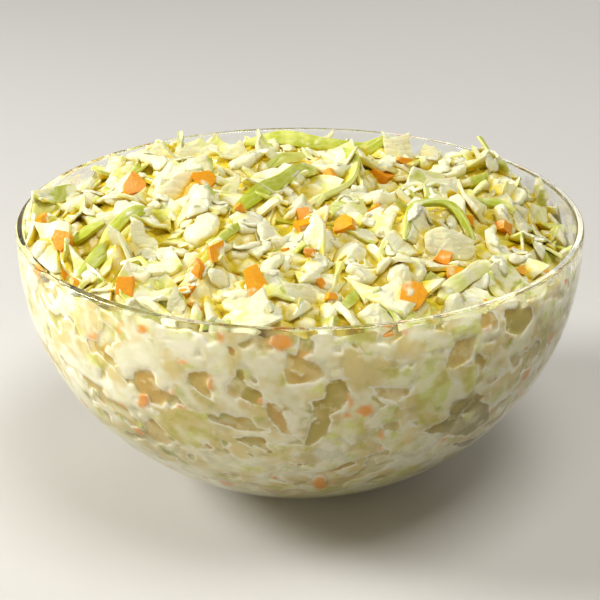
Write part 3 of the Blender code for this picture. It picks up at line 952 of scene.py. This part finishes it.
def make_heap(materials):
    """Settle every kind of piece on the heap and make one piece of the object for each kind."""
    chance = np.random.default_rng(SEED)
    target, x, y = salad_top()
    target, reach = target + TOP_SWELL, np.hypot(x, y)
    off_wall = np.clip((RADIUS - 3 - reach) / 5, 0, 1)
    for at_x, at_y, bell, rise in SWELLS:
        near = np.exp(-((x - at_x) ** 2 + (y - at_y) ** 2) / (2 * bell**2))
        target = target + rise * near * (off_wall if rise > 0 else 1)
    inside = reach < RADIUS - RIM_WALL - 2.0
    heap = Heap(np.where(inside, target, -HEIGHT), target - BED_DEPTH)
    shapes = make_shapes(chance)
    names = list(shapes)
    order = np.concatenate([np.full(len(shapes[name]["points"]), k) for k, name in enumerate(names)])
    chance.shuffle(order)
    dab = order == names.index("dressing_dabs")
    late = dab & (np.cumsum(dab) > EARLY_DABS)
    laid = {name: [] for name in names}
    for number in np.concatenate([order[~late], order[late]]):
        name = names[number]
        done = laid[name]
        x, y = heap.need(chance)
        if name == "dressing_dabs" and len(done) >= EARLY_DABS:
            angle, far = chance.uniform(0, ROUND), DAB_REACH * math.sqrt(chance.uniform(0, 1))
            x, y = far * math.cos(angle), far * math.sin(angle)
        standing = chance.random() < STANDING_SHARE
        tilt = chance.uniform(0.6, 1.15) if standing else abs(chance.normal(0, 0.35))
        drape = 0.0 if standing else KINDS[name][2] * chance.uniform(0.6, 1.3)
        if name == "dressing_dabs":
            tilt, drape = 0.0, KINDS[name][2]
        done.append(settle(heap, shapes[name], len(done), x, y, chance.uniform(0, ROUND), tilt,
                           chance.uniform(0, ROUND), drape, 0.5 if standing else 0.25))
    extras = make_top_pieces(heap, chance)
    for name in names:
        material, crisp, _, tints, change = KINDS[name]
        points, poles = (np.stack([one[k] for one in laid[name]]) for k in (0, 1))
        count, rows, columns = points.shape[:3]
        flat = np.concatenate([points.reshape(count, -1, 3), poles], 1)
        own = shapes[name]["points"].reshape(count, -1, 3)[..., :2]
        local = np.concatenate([own, np.zeros((count, 2, 2))], 1).reshape(-1, 2) / 10
        local = local + np.repeat(chance.uniform(0, 20, (count, 2)), flat.shape[1], 0)
        along = np.concatenate([shapes[name]["along"].reshape(count, -1), np.zeros((count, 2))], 1)
        tint = chance.uniform(*tints, (count, 1)) + change * chance.choice((-1, 1), (count, 1)) * along
        make_salad(name, flat.reshape(-1, 3), tube_faces(rows, columns, count), materials[material],
                   {"tint": tint.ravel()}, local, crisp, heap)
    for name, material, crisp, rows, columns, parts in extras:
        points, tint, local = (np.concatenate([part[k] for part in parts]) for k in range(3))
        make_salad(name, points, tube_faces(rows, columns, len(parts)), materials[material],
                   {"tint": tint}, local / 10, crisp, heap)
    return heap


# ---------------------------------------------------------------- dressing between and against the glass
def ripple(points, wavelength, chance, waves=24):
    """A smooth random field: the mean of plane waves of about one wavelength in all directions,
    scaled to a spread of 1."""
    total = np.zeros(points.shape[:-1])
    for _ in range(waves):
        direction = chance.normal(0, 1, 3)
        direction *= ROUND / wavelength * chance.uniform(0.7, 1.4) / np.linalg.norm(direction)
        total += np.sin(points @ direction + chance.uniform(0, ROUND))
    return total / math.sqrt(waves / 2)


def fill_line(heap):
    """The height of the salad's edge at the glass, as a function of azimuth, from the heap's map."""
    lowest, higher_front, highest = 66.5, 7.6, HEIGHT - 1.9
    azimuth = np.linspace(-math.pi, math.pi, 361)
    field = blur(heap.height, 1.2)
    reach = RADIUS - RIM_WALL - 1.5
    level = np.mean([heap.at((reach - k) * np.cos(azimuth), (reach - k) * np.sin(azimuth), field)
                     for k in (0, 1, 2)], 0)
    front = np.clip(0.5 + 1.4 * np.cos(azimuth + math.radians(112)), 0, 1)
    level = np.clip(level - 0.5, lowest + higher_front * front, highest)
    return lambda angle: np.interp(np.arctan2(np.sin(angle), np.cos(angle)), azimuth, level)


def make_bed(heap, fill, material):
    """The dressing under and between the pieces: a rippled sheet a little under the heap's top, from
    its middle down to the glass, closed underneath by a shallow cone."""
    columns, rings = 300, 84
    below, below_edge, margin = 1.5, 8, 5  # under the heap's top, under the fill line, round the edge
    azimuth = np.linspace(0, ROUND, columns, endpoint=False)
    rim = fill(azimuth) - below_edge
    edge = inner_radius(rim) + 0.1
    radius = (np.arange(1, rings + 1) / rings)[:, None] * edge
    x, y = radius * np.cos(azimuth), radius * np.sin(azimuth)
    smooth = blur(heap.height, 2.0)
    level = heap.at(x, y, smooth) - below
    level = level + 0.35 * ripple(np.stack([x, y, 0 * x], -1), 4.0, np.random.default_rng(SEED))
    blend = np.clip((radius - edge + margin) / margin, 0, 1) ** 2
    level = level * (1 - blend) + rim * blend
    under = np.stack([0.9 * x[-1], 0.9 * y[-1], level[-1] - 4], -1)
    grid = np.concatenate([np.stack([x, y, level], -1), under[None]])
    centre = heap.at(np.zeros(1), np.zeros(1), smooth)[0] - below
    points = np.concatenate([grid.reshape(-1, 3), [(0, 0, centre), (0, 0, fill(azimuth).min() - 6)]])
    # Painted shade: the bed between and under the pieces gets a little extra golden shade.
    make_salad("dressing_bed", points, tube_faces(rings + 1, columns), material,
               {"pool": np.full(len(points), 0.12)}, heap=heap)


# Bits at the front that lie on the glass or show behind it: kind, the half width if it is a band
# along a path, then the path's or the outline's (degrees to the right of the front, height) points.
PRESSED = (
    ("tan", ((-2.6, 70), (3.2, 66.5), (4.9, 63), (2.7, 60.8), (-2.4, 60.4), (-3.2, 64.4))),
    ("tan", ((-7.8, 73.8), (-3.9, 74.1), (-3.7, 69.9), (-7.9, 69.2))),
    ("olive", ((-13.3, 60.3), (-10.8, 64.6), (-8.6, 60), (-5.3, 55.6), (-7.1, 53.5), (-10.6, 55.1))),
    ("gold", ((-6.5, 55.1), (-4.1, 55.2), (-2.5, 49.8), (-1.7, 43.3), (-3.8, 45.5), (-6, 50.6))),
    ("olive", ((5, 62.1), (7.5, 62.4), (9.7, 57.1), (8.1, 52.4), (5.2, 50.7), (1.3, 55.3), (4.5, 56.6))),
    ("tan", ((12.2, 59.5), (21.1, 57.2), (18.4, 52.6), (14.8, 55.3))),
    ("olive", ((2, 49.8), (6.4, 50.1), (5.4, 45.4), (3.6, 42), (0.5, 39.7))),
    ("tan", ((-21.4, 61.3), (-17.3, 63.1), (-15.6, 60.7), (-16.4, 53.5), (-19.6, 56.2))),
    ("olive", ((-14.3, 42.9), (-8.2, 42.8), (-9.8, 38.9), (-12.3, 41))),
    ("gold", ((-33, 58.1), (-28.4, 60.8), (-27.4, 55.9), (-25.8, 52.8), (-27.4, 49.2), (-30.5, 48.8),
      (-33.2, 51.9))),
    ("tan", ((-34.1, 42), (-30.9, 44.7), (-28.4, 36.1), (-30.6, 33.6), (-35.3, 36.6))),
    ("tan", ((29.4, 68.1), (34.7, 68.3), (33.6, 61), (29.2, 59.7), (27.8, 63.7))),
    ("gold", ((34.9, 74.7), (38.6, 73.3), (39.8, 69.1), (35.2, 68.8))),
    ("olive", ((40.5, 72.9), (49.2, 69.9), (50.1, 66.1), (46.7, 62.3), (41.5, 65.7))),
    ("olive", ((47.7, 57.8), (52.2, 55.9), (54.5, 49.7), (49.9, 50.2))),
    ("green", ((30.6, 50.5), (35.8, 49.1), (42.5, 43.8), (46.3, 36.5), (41.7, 32.7), (27, 41.2),
      (31, 44.1))),
    ("grey", ((34.8, 33.3), (45.9, 29.8), (52.1, 31.6), (46.3, 25.6))),
    ("w", ((11, 71.8), (22.6, 68), (20.6, 64.1), (14, 67.6))),
    ("w", ((-8, 68.4), (-3.6, 68.9), (-3.6, 62.2), (-3.2, 56.7), (-6.4, 57.4), (-7.5, 60.6),
      (-7.9, 64.5))),
    ("w", ((9.6, 68.2), (14, 67.6), (13.5, 62.9), (11.8, 63.6))),
    ("p", ((14.4, 64.1), (18.2, 63.8), (19.1, 59.1), (17, 58.4), (14.5, 61))),
    ("p", ((1, 59.1), (4.4, 61.7), (4.2, 57.6), (1.9, 55.3))),
    ("w", ((-3.2, 60.4), (0.5, 60.9), (0.2, 57.7), (-0.1, 54.3), (2.5, 50.8), (-0.7, 50.4),
      (-2.4, 53.8), (-4.1, 56.6))),
    ("w", ((7.8, 62.3), (12.2, 60), (13, 55.6), (15.6, 52.7), (11.7, 52.5), (9.7, 57.1))),
    ("p", ((4.9, 43.1), (7.3, 49.5), (12.4, 50.8), (12.9, 44.3))),
    ("p", ((-24.3, 43.5), (-17.5, 43.3), (-21.8, 35.9), (-25, 36.7))),
    ("p", ((17.5, 44.4), (23.4, 41.5), (24, 37.7), (19.9, 35.2))),
    ("w", ((4.1, 65.2), (5.7, 67.3), (6.9, 66.4), (5.2, 63.8))),
    ("w", ((-0.4, 63.6), (0.7, 64), (0.9, 62.7), (-0.2, 62.7))),
    ("w", 1.4, ((-12.6, 63.1), (-14.7, 60), (-14.4, 55.9), (-11.3, 52.5), (-6.9, 51.6))),
    ("w", 0.9, ((-17.4, 67.9), (-16.9, 65.8), (-15.8, 63))),
    ("w", 0.9, ((-12.1, 70.8), (-9.3, 68.2), (-8, 63.6))),
    ("p", 0.7, ((-9.9, 63.8), (-9.5, 60.8), (-8.6, 59.5))),
    ("w", 1, ((-13.8, 44.2), (-9.4, 44.3), (-4.1, 44.3))),
    ("w", ((-37.3, 64.3), (-31.7, 68.3), (-27.8, 68.6), (-27, 65.5), (-28, 61.9), (-32.6, 58.6),
      (-37, 57.9))),
    ("w", ((-27.4, 62.8), (-23.1, 65.3), (-20.7, 62), (-23.7, 57.7), (-26.4, 54.1), (-28, 55.7))),
    ("w", ((-42.5, 49.6), (-36.1, 53.3), (-34, 49.7), (-36.8, 46.1), (-43, 45.5))),
    ("p", ((-31.3, 44.5), (-24.7, 50.1), (-17.8, 49.8), (-17.4, 41.7), (-23.9, 36.4), (-28, 38.1))),
    ("p", ((-24.7, 72), (-19.6, 73.8), (-19.4, 70.7), (-24.4, 69.5))),
    ("w", 1.3, ((-23.8, 62.2), (-20.9, 54.2), (-17.7, 50.6))),
    ("w", 1, ((-22.3, 67.2), (-20.3, 66), (-18.6, 64.1))),
    ("w", 1, ((-17.7, 70.1), (-16.9, 66.1), (-15.9, 62.3))),
    ("p", ((26.2, 73.3), (32.7, 72.8), (34.5, 71.1), (32.9, 69.7), (29.3, 69.5), (26.5, 71.6))),
    ("w", ((18.4, 74.2), (27.1, 71.5), (29, 69.2), (27.3, 66), (22, 66), (18.7, 65.4))),
    ("p", ((22.3, 70.4), (25.6, 70.2), (26.7, 67.2), (24.8, 66), (22.3, 66))),
    ("p", ((22, 62.6), (27, 63.3), (29.2, 57.5), (32.1, 51.9), (30.5, 48.5), (30.6, 43.4), (24.3, 44),
      (21.5, 55.4))),
    ("w", 0.6, ((37.9, 74.6), (39.7, 70.5), (40.7, 65.7), (41.2, 60.8))),
    ("p", ((31.4, 60), (35.6, 59.2), (36.2, 54.1), (35, 49.9), (32, 52.7))),
    ("p", ((36.7, 56.9), (41.4, 56), (42.9, 53), (38, 53.3))),
    ("p", ((40.1, 49.2), (45.8, 50), (47.9, 46.8), (43.5, 45))),
    ("p", ((34.5, 43.8), (39, 43.5), (37.8, 39.6))),
    ("w", ((20.6, 45.2), (23, 43.5), (25.4, 34.4), (23, 34.3))),
    ("c", ((-13.6, 71.9), (-14.4, 70.5), (-15.1, 72), (-14.7, 74.3), (-13.8, 74.2))),
    ("c", ((-1.2, 71.3), (-3.6, 69.3), (-5.7, 71.6), (-4.6, 75), (-1.9, 74.8))),
    ("c", ((-21, 64.1), (-21.9, 63.3), (-22.7, 63.8), (-22.2, 65), (-21.1, 65.2))),
    ("c", ((-15.9, 58.2), (-16.8, 56.3), (-17.5, 58.4), (-16.9, 61.6), (-15.9, 61.5))),
    ("c", ((-6.5, 55), (-7.4, 54.1), (-8.2, 55.1), (-7.7, 56.5), (-6.7, 56.5))),
    ("c", ((14.2, 50.7), (12.3, 49.7), (10.4, 51.6), (11.2, 53.8), (13.5, 53.2))),
    ("c", ((17.3, 41.9), (16.6, 40.6), (15.6, 42.7), (15.6, 45.1), (16.7, 44.6))),
    ("c", ((18, 36.9), (17.5, 36.2), (16.6, 37.5), (16.6, 39), (17.5, 38.6))),
    ("c", ((7.3, 22.1), (5.5, 19), (3.1, 23.4), (3.7, 27.7), (6.1, 27.1))),
    ("c", ((-8.6, -1.4), (-14.4, -2.1), (-19.6, -2), (-16.8, -1.1), (-10.1, -0.8))),
    ("c", ((9.8, 54), (9.2, 52.3), (8.6, 54.6), (8.8, 57.7), (9.5, 57.3))),
    ("c", ((-28.4, 70.6), (-29.9, 69.3), (-31.1, 70.1), (-30.4, 72), (-28.7, 72.3))),
    ("c", ((-30.4, 48.9), (-32.8, 46.2), (-34, 47.9), (-32.3, 51.6), (-30.2, 52.1))),
    ("c", ((-20.8, 64.2), (-21.9, 63.3), (-22.8, 63.9), (-22.3, 65.1), (-21, 65.3))),
    ("c", ((-24.2, 54.2), (-25, 53.1), (-25.6, 54), (-25, 55.7), (-24.2, 55.8))),
    ("c", 0.5, ((-34.5, 71.2), (-35.1, 68.7), (-36.2, 66.3))),
    ("c", ((19.7, 72.6), (18.8, 72.2), (18.1, 73.1), (18.4, 74), (19.4, 73.7))),
    ("c", ((61.8, 36.1), (58.4, 37.5), (53.4, 41.4), (52.7, 43.2), (55.7, 41.3))),
    ("g", ((29.1, 47.3), (28.1, 46.9), (26.9, 48.3), (27.1, 49.6), (28.5, 49))),
    ("g", ((24.8, 68.3), (23.8, 67.8), (22.9, 69), (23.3, 70.1), (24.5, 69.7))),
    ("y", ((-41.3, 60.3), (-43, 58.6), (-44, 59.4), (-43, 61.5), (-41.4, 62))),
    ("y", ((-40.4, 52.6), (-42.5, 50), (-43.2, 51.7), (-41.6, 55.2), (-40, 55.7))),
    ("y", ((-47.5, 44.7), (-49.5, 43), (-50.2, 43.4), (-48.6, 45.3), (-47, 46.1))),
    ("y", ((-36.2, 58.6), (-37.1, 57.7), (-37.7, 58.2), (-37.2, 59.3), (-36.3, 59.6))),
)

# kind: (colour, how far it lies on the glass or, below zero, how far back it is, drawn as painted shade)
PRESSED_KINDS = {
    "w": (CREAM, 3.0), "p": (PALE_LEAF, 3.0), "c": (WET_CARROT, 3.0), "g": (GREEN_LEAF, 3.0),
    "y": ((0.86, 0.72, 0.25), -1.2), "tan": ((0.92, 0.75, 0.28), -1.5),
    "gold": ((0.90, 0.66, 0.20), -1.8), "olive": ((0.72, 0.68, 0.16), -2.0),
    "green": ((0.50, 0.52, 0.16), -2.4), "grey": ((0.40, 0.34, 0.24), -3.0),
}
SCATTERED = ((0.34, WHITE_LEAF), (0.30, CREAM), (0.24, PALE_LEAF), (0.04, GREEN_LEAF), (0.10, WET_CARROT))


BIT_REACH, KNOWN_REACH, HOLLOW_REACH = 13.0, 18.0, 16.0  # how far round its middle a bit is drawn
FLOOR_RADIUS, FLOOR_PATH = 26, 40  # a bit this near the middle may lie on all of this much of the path
FOLLOWED = 3.0  # how far from a bit's edge touch is followed, inside and outside it


class Skin:
    """The salad against the glass on a grid: rows from the floor's middle up, columns round. For every
    point it keeps how far inside a bit that lies on the glass it is (touch), that bit's colour (front),
    and how near the glass what lies further back comes (level) with its colour (behind). Level is
    drawn only as painted shade."""

    def __init__(self, wall, along, chance):
        self.wall, self.along = wall, along
        shape = wall.shape[:2]
        self.touch = np.full(shape, -FOLLOWED)
        self.level = -2.6 + 0.5 * ripple(wall, 8.0, chance)
        self.front = np.tile(np.array((*CREAM, 1.0)), (*shape, 1))
        wave = np.clip(0.5 + 0.5 * ripple(wall, 12.0, chance), 0, 1)[..., None]
        self.behind = np.array(WHITE_LEAF) * (1 - wave) + np.array((0.90, 0.71, 0.24)) * wave

    def near(self, at, reach):
        """The rows and columns round a point: on the floor all of its columns."""
        columns = self.wall.shape[1]
        step, radius = ROUND / columns, math.hypot(at[0], at[1])
        if radius > FLOOR_RADIUS:
            x, y, z = self.wall[:, 0].T
            picked = np.flatnonzero(np.hypot(np.hypot(x, y) - radius, z - at[2]) < reach + 3)
            half = min(columns // 2, int(reach / (radius - 8) / step) + 1)
        else:
            picked, half = np.flatnonzero(self.along < FLOOR_PATH), columns // 2
        centre = round(-math.atan2(at[1], at[0]) / step)
        return np.ix_(picked, (centre + np.arange(-half, half)) % columns)

    def press(self, at, axes, edge, colour, top, tilt=(0, 0), reach=BIT_REACH):
        """Press one bit on. Its distance inside its edge is edge(u, v) in the plane that touches the
        wall at a point; top + tilt . (u, v) says where it leaves the glass or, if top is below zero,
        how far back it is."""
        spot = self.near(at, reach)
        u, v, off = ((self.wall[spot] - at) @ axis for axis in axes)
        inside, slope = edge(u, v), top + tilt[0] * u + tilt[1] * v
        close = (np.abs(off) < 8) & (np.hypot(u, v) < reach)
        touch, level = self.touch[spot], self.level[spot]
        if top > 0:
            depth = np.where(close, np.minimum(inside, slope), -9)
            taken = (depth > -1.2) & ((depth > 0) | (depth > touch))
            self.front[spot] = np.where(taken[..., None], colour, self.front[spot])
            self.touch[spot] = np.where(depth > 0, depth, np.maximum(depth, touch))
        else:
            height = np.minimum(slope, 0) - 0.8 * (1 - np.clip(inside, 0, 1)) ** 2
            shown = close & (inside > 0) & (height > level)
            self.behind[spot] = np.where(shown[..., None], colour[:3], self.behind[spot])
            self.level[spot] = np.where(shown, height, level)

    def hollow(self, at, axes, edge, colour, top):
        """Clear a place of what lies on the glass, and show a soft-edged bit behind it."""
        spot = self.near(at, HOLLOW_REACH)
        u, v, _ = ((self.wall[spot] - at) @ axis for axis in axes)
        inside, touch = edge(u, v), self.touch[spot]
        self.touch[spot] = np.where(inside > -0.5, np.minimum(touch, 0.3 - inside), touch)
        soft = np.clip(0.5 + inside / 1.2, 0, 1)
        self.level[spot] = self.level[spot] * (1 - soft) + top * soft
        soft = soft[..., None]
        self.behind[spot] = self.behind[spot] * (1 - soft) + np.array(colour) * soft


def wall_axes(azimuth, along):
    """A point of the inner wall at a length along the section, with the directions round, up and in."""
    r, z, run_r, run_z = (np.interp(along, PATH, values) for values in (PATH_R, PATH_Z, RUN_R, RUN_Z))
    outward = np.array([math.cos(azimuth), math.sin(azimuth), 0])
    round_axis = np.array([-math.sin(azimuth), math.cos(azimuth), 0])
    up_axis = run_r * outward + (0, 0, run_z)
    up_axis /= np.linalg.norm(up_axis)
    return r * outward + (0, 0, z), (round_axis, up_axis, np.cross(round_axis, up_axis))


def known_edge(corners, half=0):
    """Distance inside a band of a half width along an open path, or with no half width inside a closed
    outline: the least distance to its sides, positive where a ray across meets them an odd number
    of times."""
    sides = list(zip(corners, np.roll(corners, -1, 0)))

    def inside(u, v):
        far, odd = np.full(u.shape, 1e3), np.zeros(u.shape, bool)
        for (first_u, first_v), (last_u, last_v) in sides[:-1] if half else sides:
            run_u, run_v = last_u - first_u, last_v - first_v
            share = ((u - first_u) * run_u + (v - first_v) * run_v) / (run_u**2 + run_v**2 + 1e-9)
            share = np.clip(share, 0, 1)
            far = np.minimum(far, np.hypot(u - first_u - share * run_u, v - first_v - share * run_v))
            crossed = (first_v > v) != (last_v > v)
            odd ^= crossed & (u < first_u + (v - first_v) / (run_v + 1e-12) * run_u)
        return half - far if half else np.where(odd, far, -far)

    return inside


def slab_edge(chance):
    """A pressed slab: distance inside a polygon with straight sides, min over sides of d_k - n_k . p."""
    half = chance.uniform(1.8, 5.0)
    sides = int(chance.choice((3, 4, 5, 6)))
    angle = (np.arange(sides) + chance.uniform(-0.3, 0.3, sides)) * ROUND / sides
    angle = angle + chance.uniform(0, 6.3)
    far = half * chance.uniform(0.6, 1.0, sides)
    return lambda u, v: np.min(far - np.cos(angle) * u[..., None] - np.sin(angle) * v[..., None], -1)


def dice_edge(chance):
    """A pressed dice of carrot: distance inside a rectangle."""
    half, turn = chance.uniform(0.9, 2.6), chance.uniform(0, ROUND)
    other = half * chance.uniform(0.6, 1)
    return lambda u, v: np.minimum(half - np.abs(u * math.cos(turn) + v * math.sin(turn)),
                                   other - np.abs(v * math.cos(turn) - u * math.sin(turn)))


def shred_edge(chance):
    """A pressed shred: distance inside a band bent round a circle of radius 1 / k, from the distance
    across it, |1/k - |p - c||, and the length along it."""
    wide, half = chance.uniform(1.1, 2.2), chance.uniform(4, 11)
    bend = chance.uniform(0.02, 0.22) * chance.choice((-1, 1))
    turn, centre = chance.uniform(0, ROUND), 1 / bend

    def inside(u, v):
        along, across = u * math.cos(turn) + v * math.sin(turn), v * math.cos(turn) - u * math.sin(turn)
        offset = np.abs(centre) - np.hypot(along, across - centre)
        side = np.sign(centre)
        run = np.abs(np.arctan2(along * side, (centre - across) * side)) * np.abs(centre)
        return np.minimum(wide - np.abs(offset), half - run)

    return inside


def tinted(colour, shade):
    """A bit's colour and, as a fourth value, how much dressing films it: little on carrot."""
    return np.array((*(shade * np.array(colour)), 0.2 if colour is WET_CARROT else 1.0))


def press_scattered(skin, chance):
    """Press random bits all over the glass: first those further back, then those that lie on it."""
    shares = np.array([share for share, _ in SCATTERED])
    for count, tops, spread in ((1500, (-2.2, -0.2), 0.2), (1650, (0.3, 5.0), 0.5)):
        for _ in range(count):
            _, colour = SCATTERED[int(chance.choice(len(SCATTERED), p=shares / shares.sum()))]
            at, axes = wall_axes(chance.uniform(0, ROUND), PATH[-1] * math.sqrt(chance.uniform(0, 1)))
            if colour is WET_CARROT:
                edge = dice_edge(chance)
            else:
                edge = (shred_edge if chance.random() < 0.35 else slab_edge)(chance)
            skin.press(at, axes, edge, tinted(colour, chance.uniform(0.74, 1.0)), chance.uniform(*tops),
                       chance.normal(0, spread, 2))


def press_known(skin, chance):
    """Press the bits of the front that have their own places."""
    for kind, *half, outline in PRESSED:
        angles, heights = np.array(outline, float).T
        angles = np.radians(angles - 90)
        at, axes = wall_axes(angles.mean(), path_at(heights.mean()))
        spots = polar(inner_radius(heights), angles, heights) - at
        edge = known_edge(np.stack([spots @ axes[0], spots @ axes[1]], -1), *half)
        colour, top = PRESSED_KINDS[kind]
        if top > 0:
            skin.press(at, axes, edge, tinted(colour, chance.uniform(0.9, 1.0)), top, reach=KNOWN_REACH)
        else:
            skin.hollow(at, axes, edge, colour, top)


def make_pressed(fill, material, chance):
    """The salad against the glass: rows of points from the floor's middle up to the fill line, just
    into the glass, the bits that touch it a little further. Made as a lower and an upper part."""
    columns, lower, upper = 860, 84, 114
    rows = lower + upper - 1
    under_rim, smeared_over, worn = 1.4, 9, (0.92, 0.86, 0.66)
    azimuth = -np.arange(columns) * ROUND / columns
    share = np.arange(1, rows + 1) / rows
    along = (share + 0.30 * share * (1 - share)) * path_at(HEIGHT - under_rim)
    radius, height, run_r, run_z = (np.interp(along, PATH, values)[:, None]
                                    for values in (PATH_R, PATH_Z, RUN_R, RUN_Z))
    norm = np.hypot(run_r, run_z)
    wall, inward = polar(radius, azimuth, height), polar(-(run_z / norm), azimuth, run_r / norm)
    skin = Skin(wall, along, chance)
    press_scattered(skin, chance)
    press_known(skin, chance)

    # Dressing floods the floor and the low places, over the bits.
    floor_share = np.clip((HEIGHT * 0.42 - wall[..., 2]) / (HEIGHT * 0.40), 0, 1)
    flood = -2.2 + 2.6 * floor_share + 0.9 * ripple(wall * (1, 1, 2.0), 12.0, chance)
    skin.front[flood > skin.touch] = (*CREAM, 1.0)
    touch = np.clip(soften(np.maximum(skin.touch, flood)), -FOLLOWED, FOLLOWED)
    front, behind = soften(skin.front), soften(soften(skin.behind))

    # Painted shade for what falls back: darker the further back it lies, and darker still just under
    # the edge of a bit above it, as a painted shadow.
    above = np.concatenate([touch[3:], np.repeat(touch[-1:], 3, 0)])
    sunk = soften(soften(-skin.level)) + 1.4 * soften(np.clip(above + 0.4, 0, 1.2) * (touch < 0))

    # Over the fill line the skin ends in single bits, with smears at the right and the back left.
    over = wall[..., 2] - fill(azimuth)
    kept = touch + 3.6 - 4.4 * np.clip((over + 5) / 5, 0, 1) ** 1.5 - 4 * np.clip(over, 0, None)
    right = np.exp(-(np.degrees(azimuth + ROUND * (azimuth < -math.pi)) / 38) ** 2)
    back_left = np.exp(-((np.degrees(azimuth % ROUND) - 160) / 22) ** 2)
    smear = 0.05 + 0.75 * right + 0.6 * back_left
    smear = smear * np.clip(1.1 - np.clip(over, 0, None) / smeared_over, 0, 1)
    smear = smear * np.clip(0.5 + ripple(wall * (1, 1, 0.6), 9.0, chance), 0, 1)
    smear = np.where(over > -2, smear, 0)
    front[..., :3] = np.where((over > 1.0)[..., None], worn, front[..., :3])

    surface = wall + inward * (-INTO_GLASS - 0.5 * np.clip(touch + 0.5, 0, 1))[..., None]
    seam = surface[lower - 1, :, 2].mean()
    surface = np.concatenate([surface, surface[-1:] * (0.9, 0.9, 1) - (0, 0, 12)])
    behind = np.concatenate([behind, np.ones((rows, columns, 1))], -1)
    fields = {}
    for name, grid, hidden in (("touch", touch, touch[-1, -1]), ("sunk", sunk, sunk[-1, -1]),
                               ("kept", kept, -FOLLOWED), ("smear", smear, 0.0),
                               ("front", front, front[-1, -1]), ("behind", behind, behind[-1, -1])):
        fields[name] = np.concatenate([grid, np.zeros_like(grid[:1]) + hidden])
    for name, used, ends in (
            ("pressed_salad_low", slice(0, lower), (INNER_Z[0] - 0.25, seam - 4)),
            ("pressed_salad_high", slice(lower - 1, rows + 1), (seam + 4, 50.0))):
        points = np.concatenate([surface[used].reshape(-1, 3), [(0, 0, end) for end in ends]])
        values = {}
        for field, grid in fields.items():
            part = grid[used].reshape(-1, *grid.shape[2:])
            values[field] = np.concatenate([part, part[-1:], part[-1:]])
        make_salad(name, points, tube_faces(len(surface[used]), columns), material, values)


# ---------------------------------------------------------------- camera, light and floor
# name, place, size, power and colour of each square light, in metres and watts
LIGHTS = (
    ("key", (-0.85, 0.05, 0.62), 0.34, 10.3, (1.0, 0.99, 0.97)),
    ("top", (0.20, -0.20, 1.05), 0.5, 6.3, (1.0, 0.985, 0.94)),
    ("edge", (0.95, 0.35, 0.42), 0.40, 0.7, (1.0, 0.90, 0.72)),
    ("card", (0.35, 1.25, 0.52), 0.55, 2.4, (1, 1, 1)),
    ("fill", (-0.50, -0.85, 0.28), 0.7, 1.7, (1.0, 0.89, 0.68)),
)
FLOOR_REACH = 4.0
WORLD_COLOUR, WORLD_STRENGTH = (1.0, 0.90, 0.75, 1.0), 0.098
FLOOR_DROP = 0.0002
AIM = (0, 0, 0.06)
CAMERA_FAR = 6  # how many of the bowl's radii the camera is from the rim's middle
CAMERA_HEIGHT = math.radians(20.6)  # how far over the rim's middle it stands
CAMERA_DOWN = math.radians(23.55)  # how far down it looks


def link_new(name, data):
    """A new object in the scene."""
    made = bpy.data.objects.new(name, data)
    bpy.context.scene.collection.objects.link(made)
    return made


def make_stage():
    """A pale floor, the world's light, five soft area lights that face the object, and the camera."""
    scene = bpy.context.scene
    floor_mesh = bpy.data.meshes.new("floor")
    corners = [(x * FLOOR_REACH, y * FLOOR_REACH, 0) for x, y in ((-1, -1), (1, -1), (1, 1), (-1, 1))]
    floor_mesh.from_pydata(corners, [], [(0, 1, 2, 3)])
    floor_mesh.materials.append(new_material("floor", Base_Color=(0.66, 0.65, 0.63), Roughness=0.7)[0])
    floor = link_new("floor", floor_mesh)
    floor.location.z = -FLOOR_DROP

    scene.world = bpy.data.worlds.new("studio")
    scene.world.use_nodes = True
    background = scene.world.node_tree.nodes["Background"]
    background.inputs["Color"].default_value = WORLD_COLOUR
    background.inputs["Strength"].default_value = WORLD_STRENGTH
    for name, place_at, size, power, colour in LIGHTS:
        data = bpy.data.lights.new(name, "AREA")
        data.shape, data.size, data.energy, data.color = "SQUARE", size, power, colour
        light = link_new(name, data)
        light.location = place_at
        away = Vector(AIM) - light.location
        light.rotation_euler = away.to_track_quat("-Z", "Y").to_euler()

    lens = bpy.data.cameras.new("camera")
    lens.lens, lens.sensor_width = 101.2, 36.0
    camera = link_new("camera", lens)
    away = Vector((0, -math.cos(CAMERA_HEIGHT), math.sin(CAMERA_HEIGHT)))
    camera.location = Vector((0, 0, HEIGHT * MM)) + CAMERA_FAR * RADIUS * MM * away
    camera.rotation_euler = (QUARTER - CAMERA_DOWN, 0, 0)
    scene.camera = camera
    scene.view_settings.view_transform = "Standard"
    scene.cycles.max_bounces = 24
    scene.cycles.glossy_bounces = scene.cycles.transmission_bounces = 16


# ---------------------------------------------------------------- putting it together
groups = {"film": make_dressing_group(), "veins": make_vein_group()}
materials = {
    "leaf": leaf_material("cut_cabbage", groups, 0.05, 0.34),
    "green": leaf_material("green_cabbage", groups, -0.14, 0.3, vein=0.15, thin=0.03),
    "rib": leaf_material("cabbage_rib", groups, 0.05, 0.28, vein=0.1),
    "carrot": carrot_material(groups),
    "dressing": dressing_material(groups),
}
make_stage()
make_bowl(glass_material())
heap = make_heap(materials)
fill = fill_line(heap)
make_bed(heap, fill, materials["dressing"])
make_pressed(fill, pressed_material(), np.random.default_rng(SEED + 1))
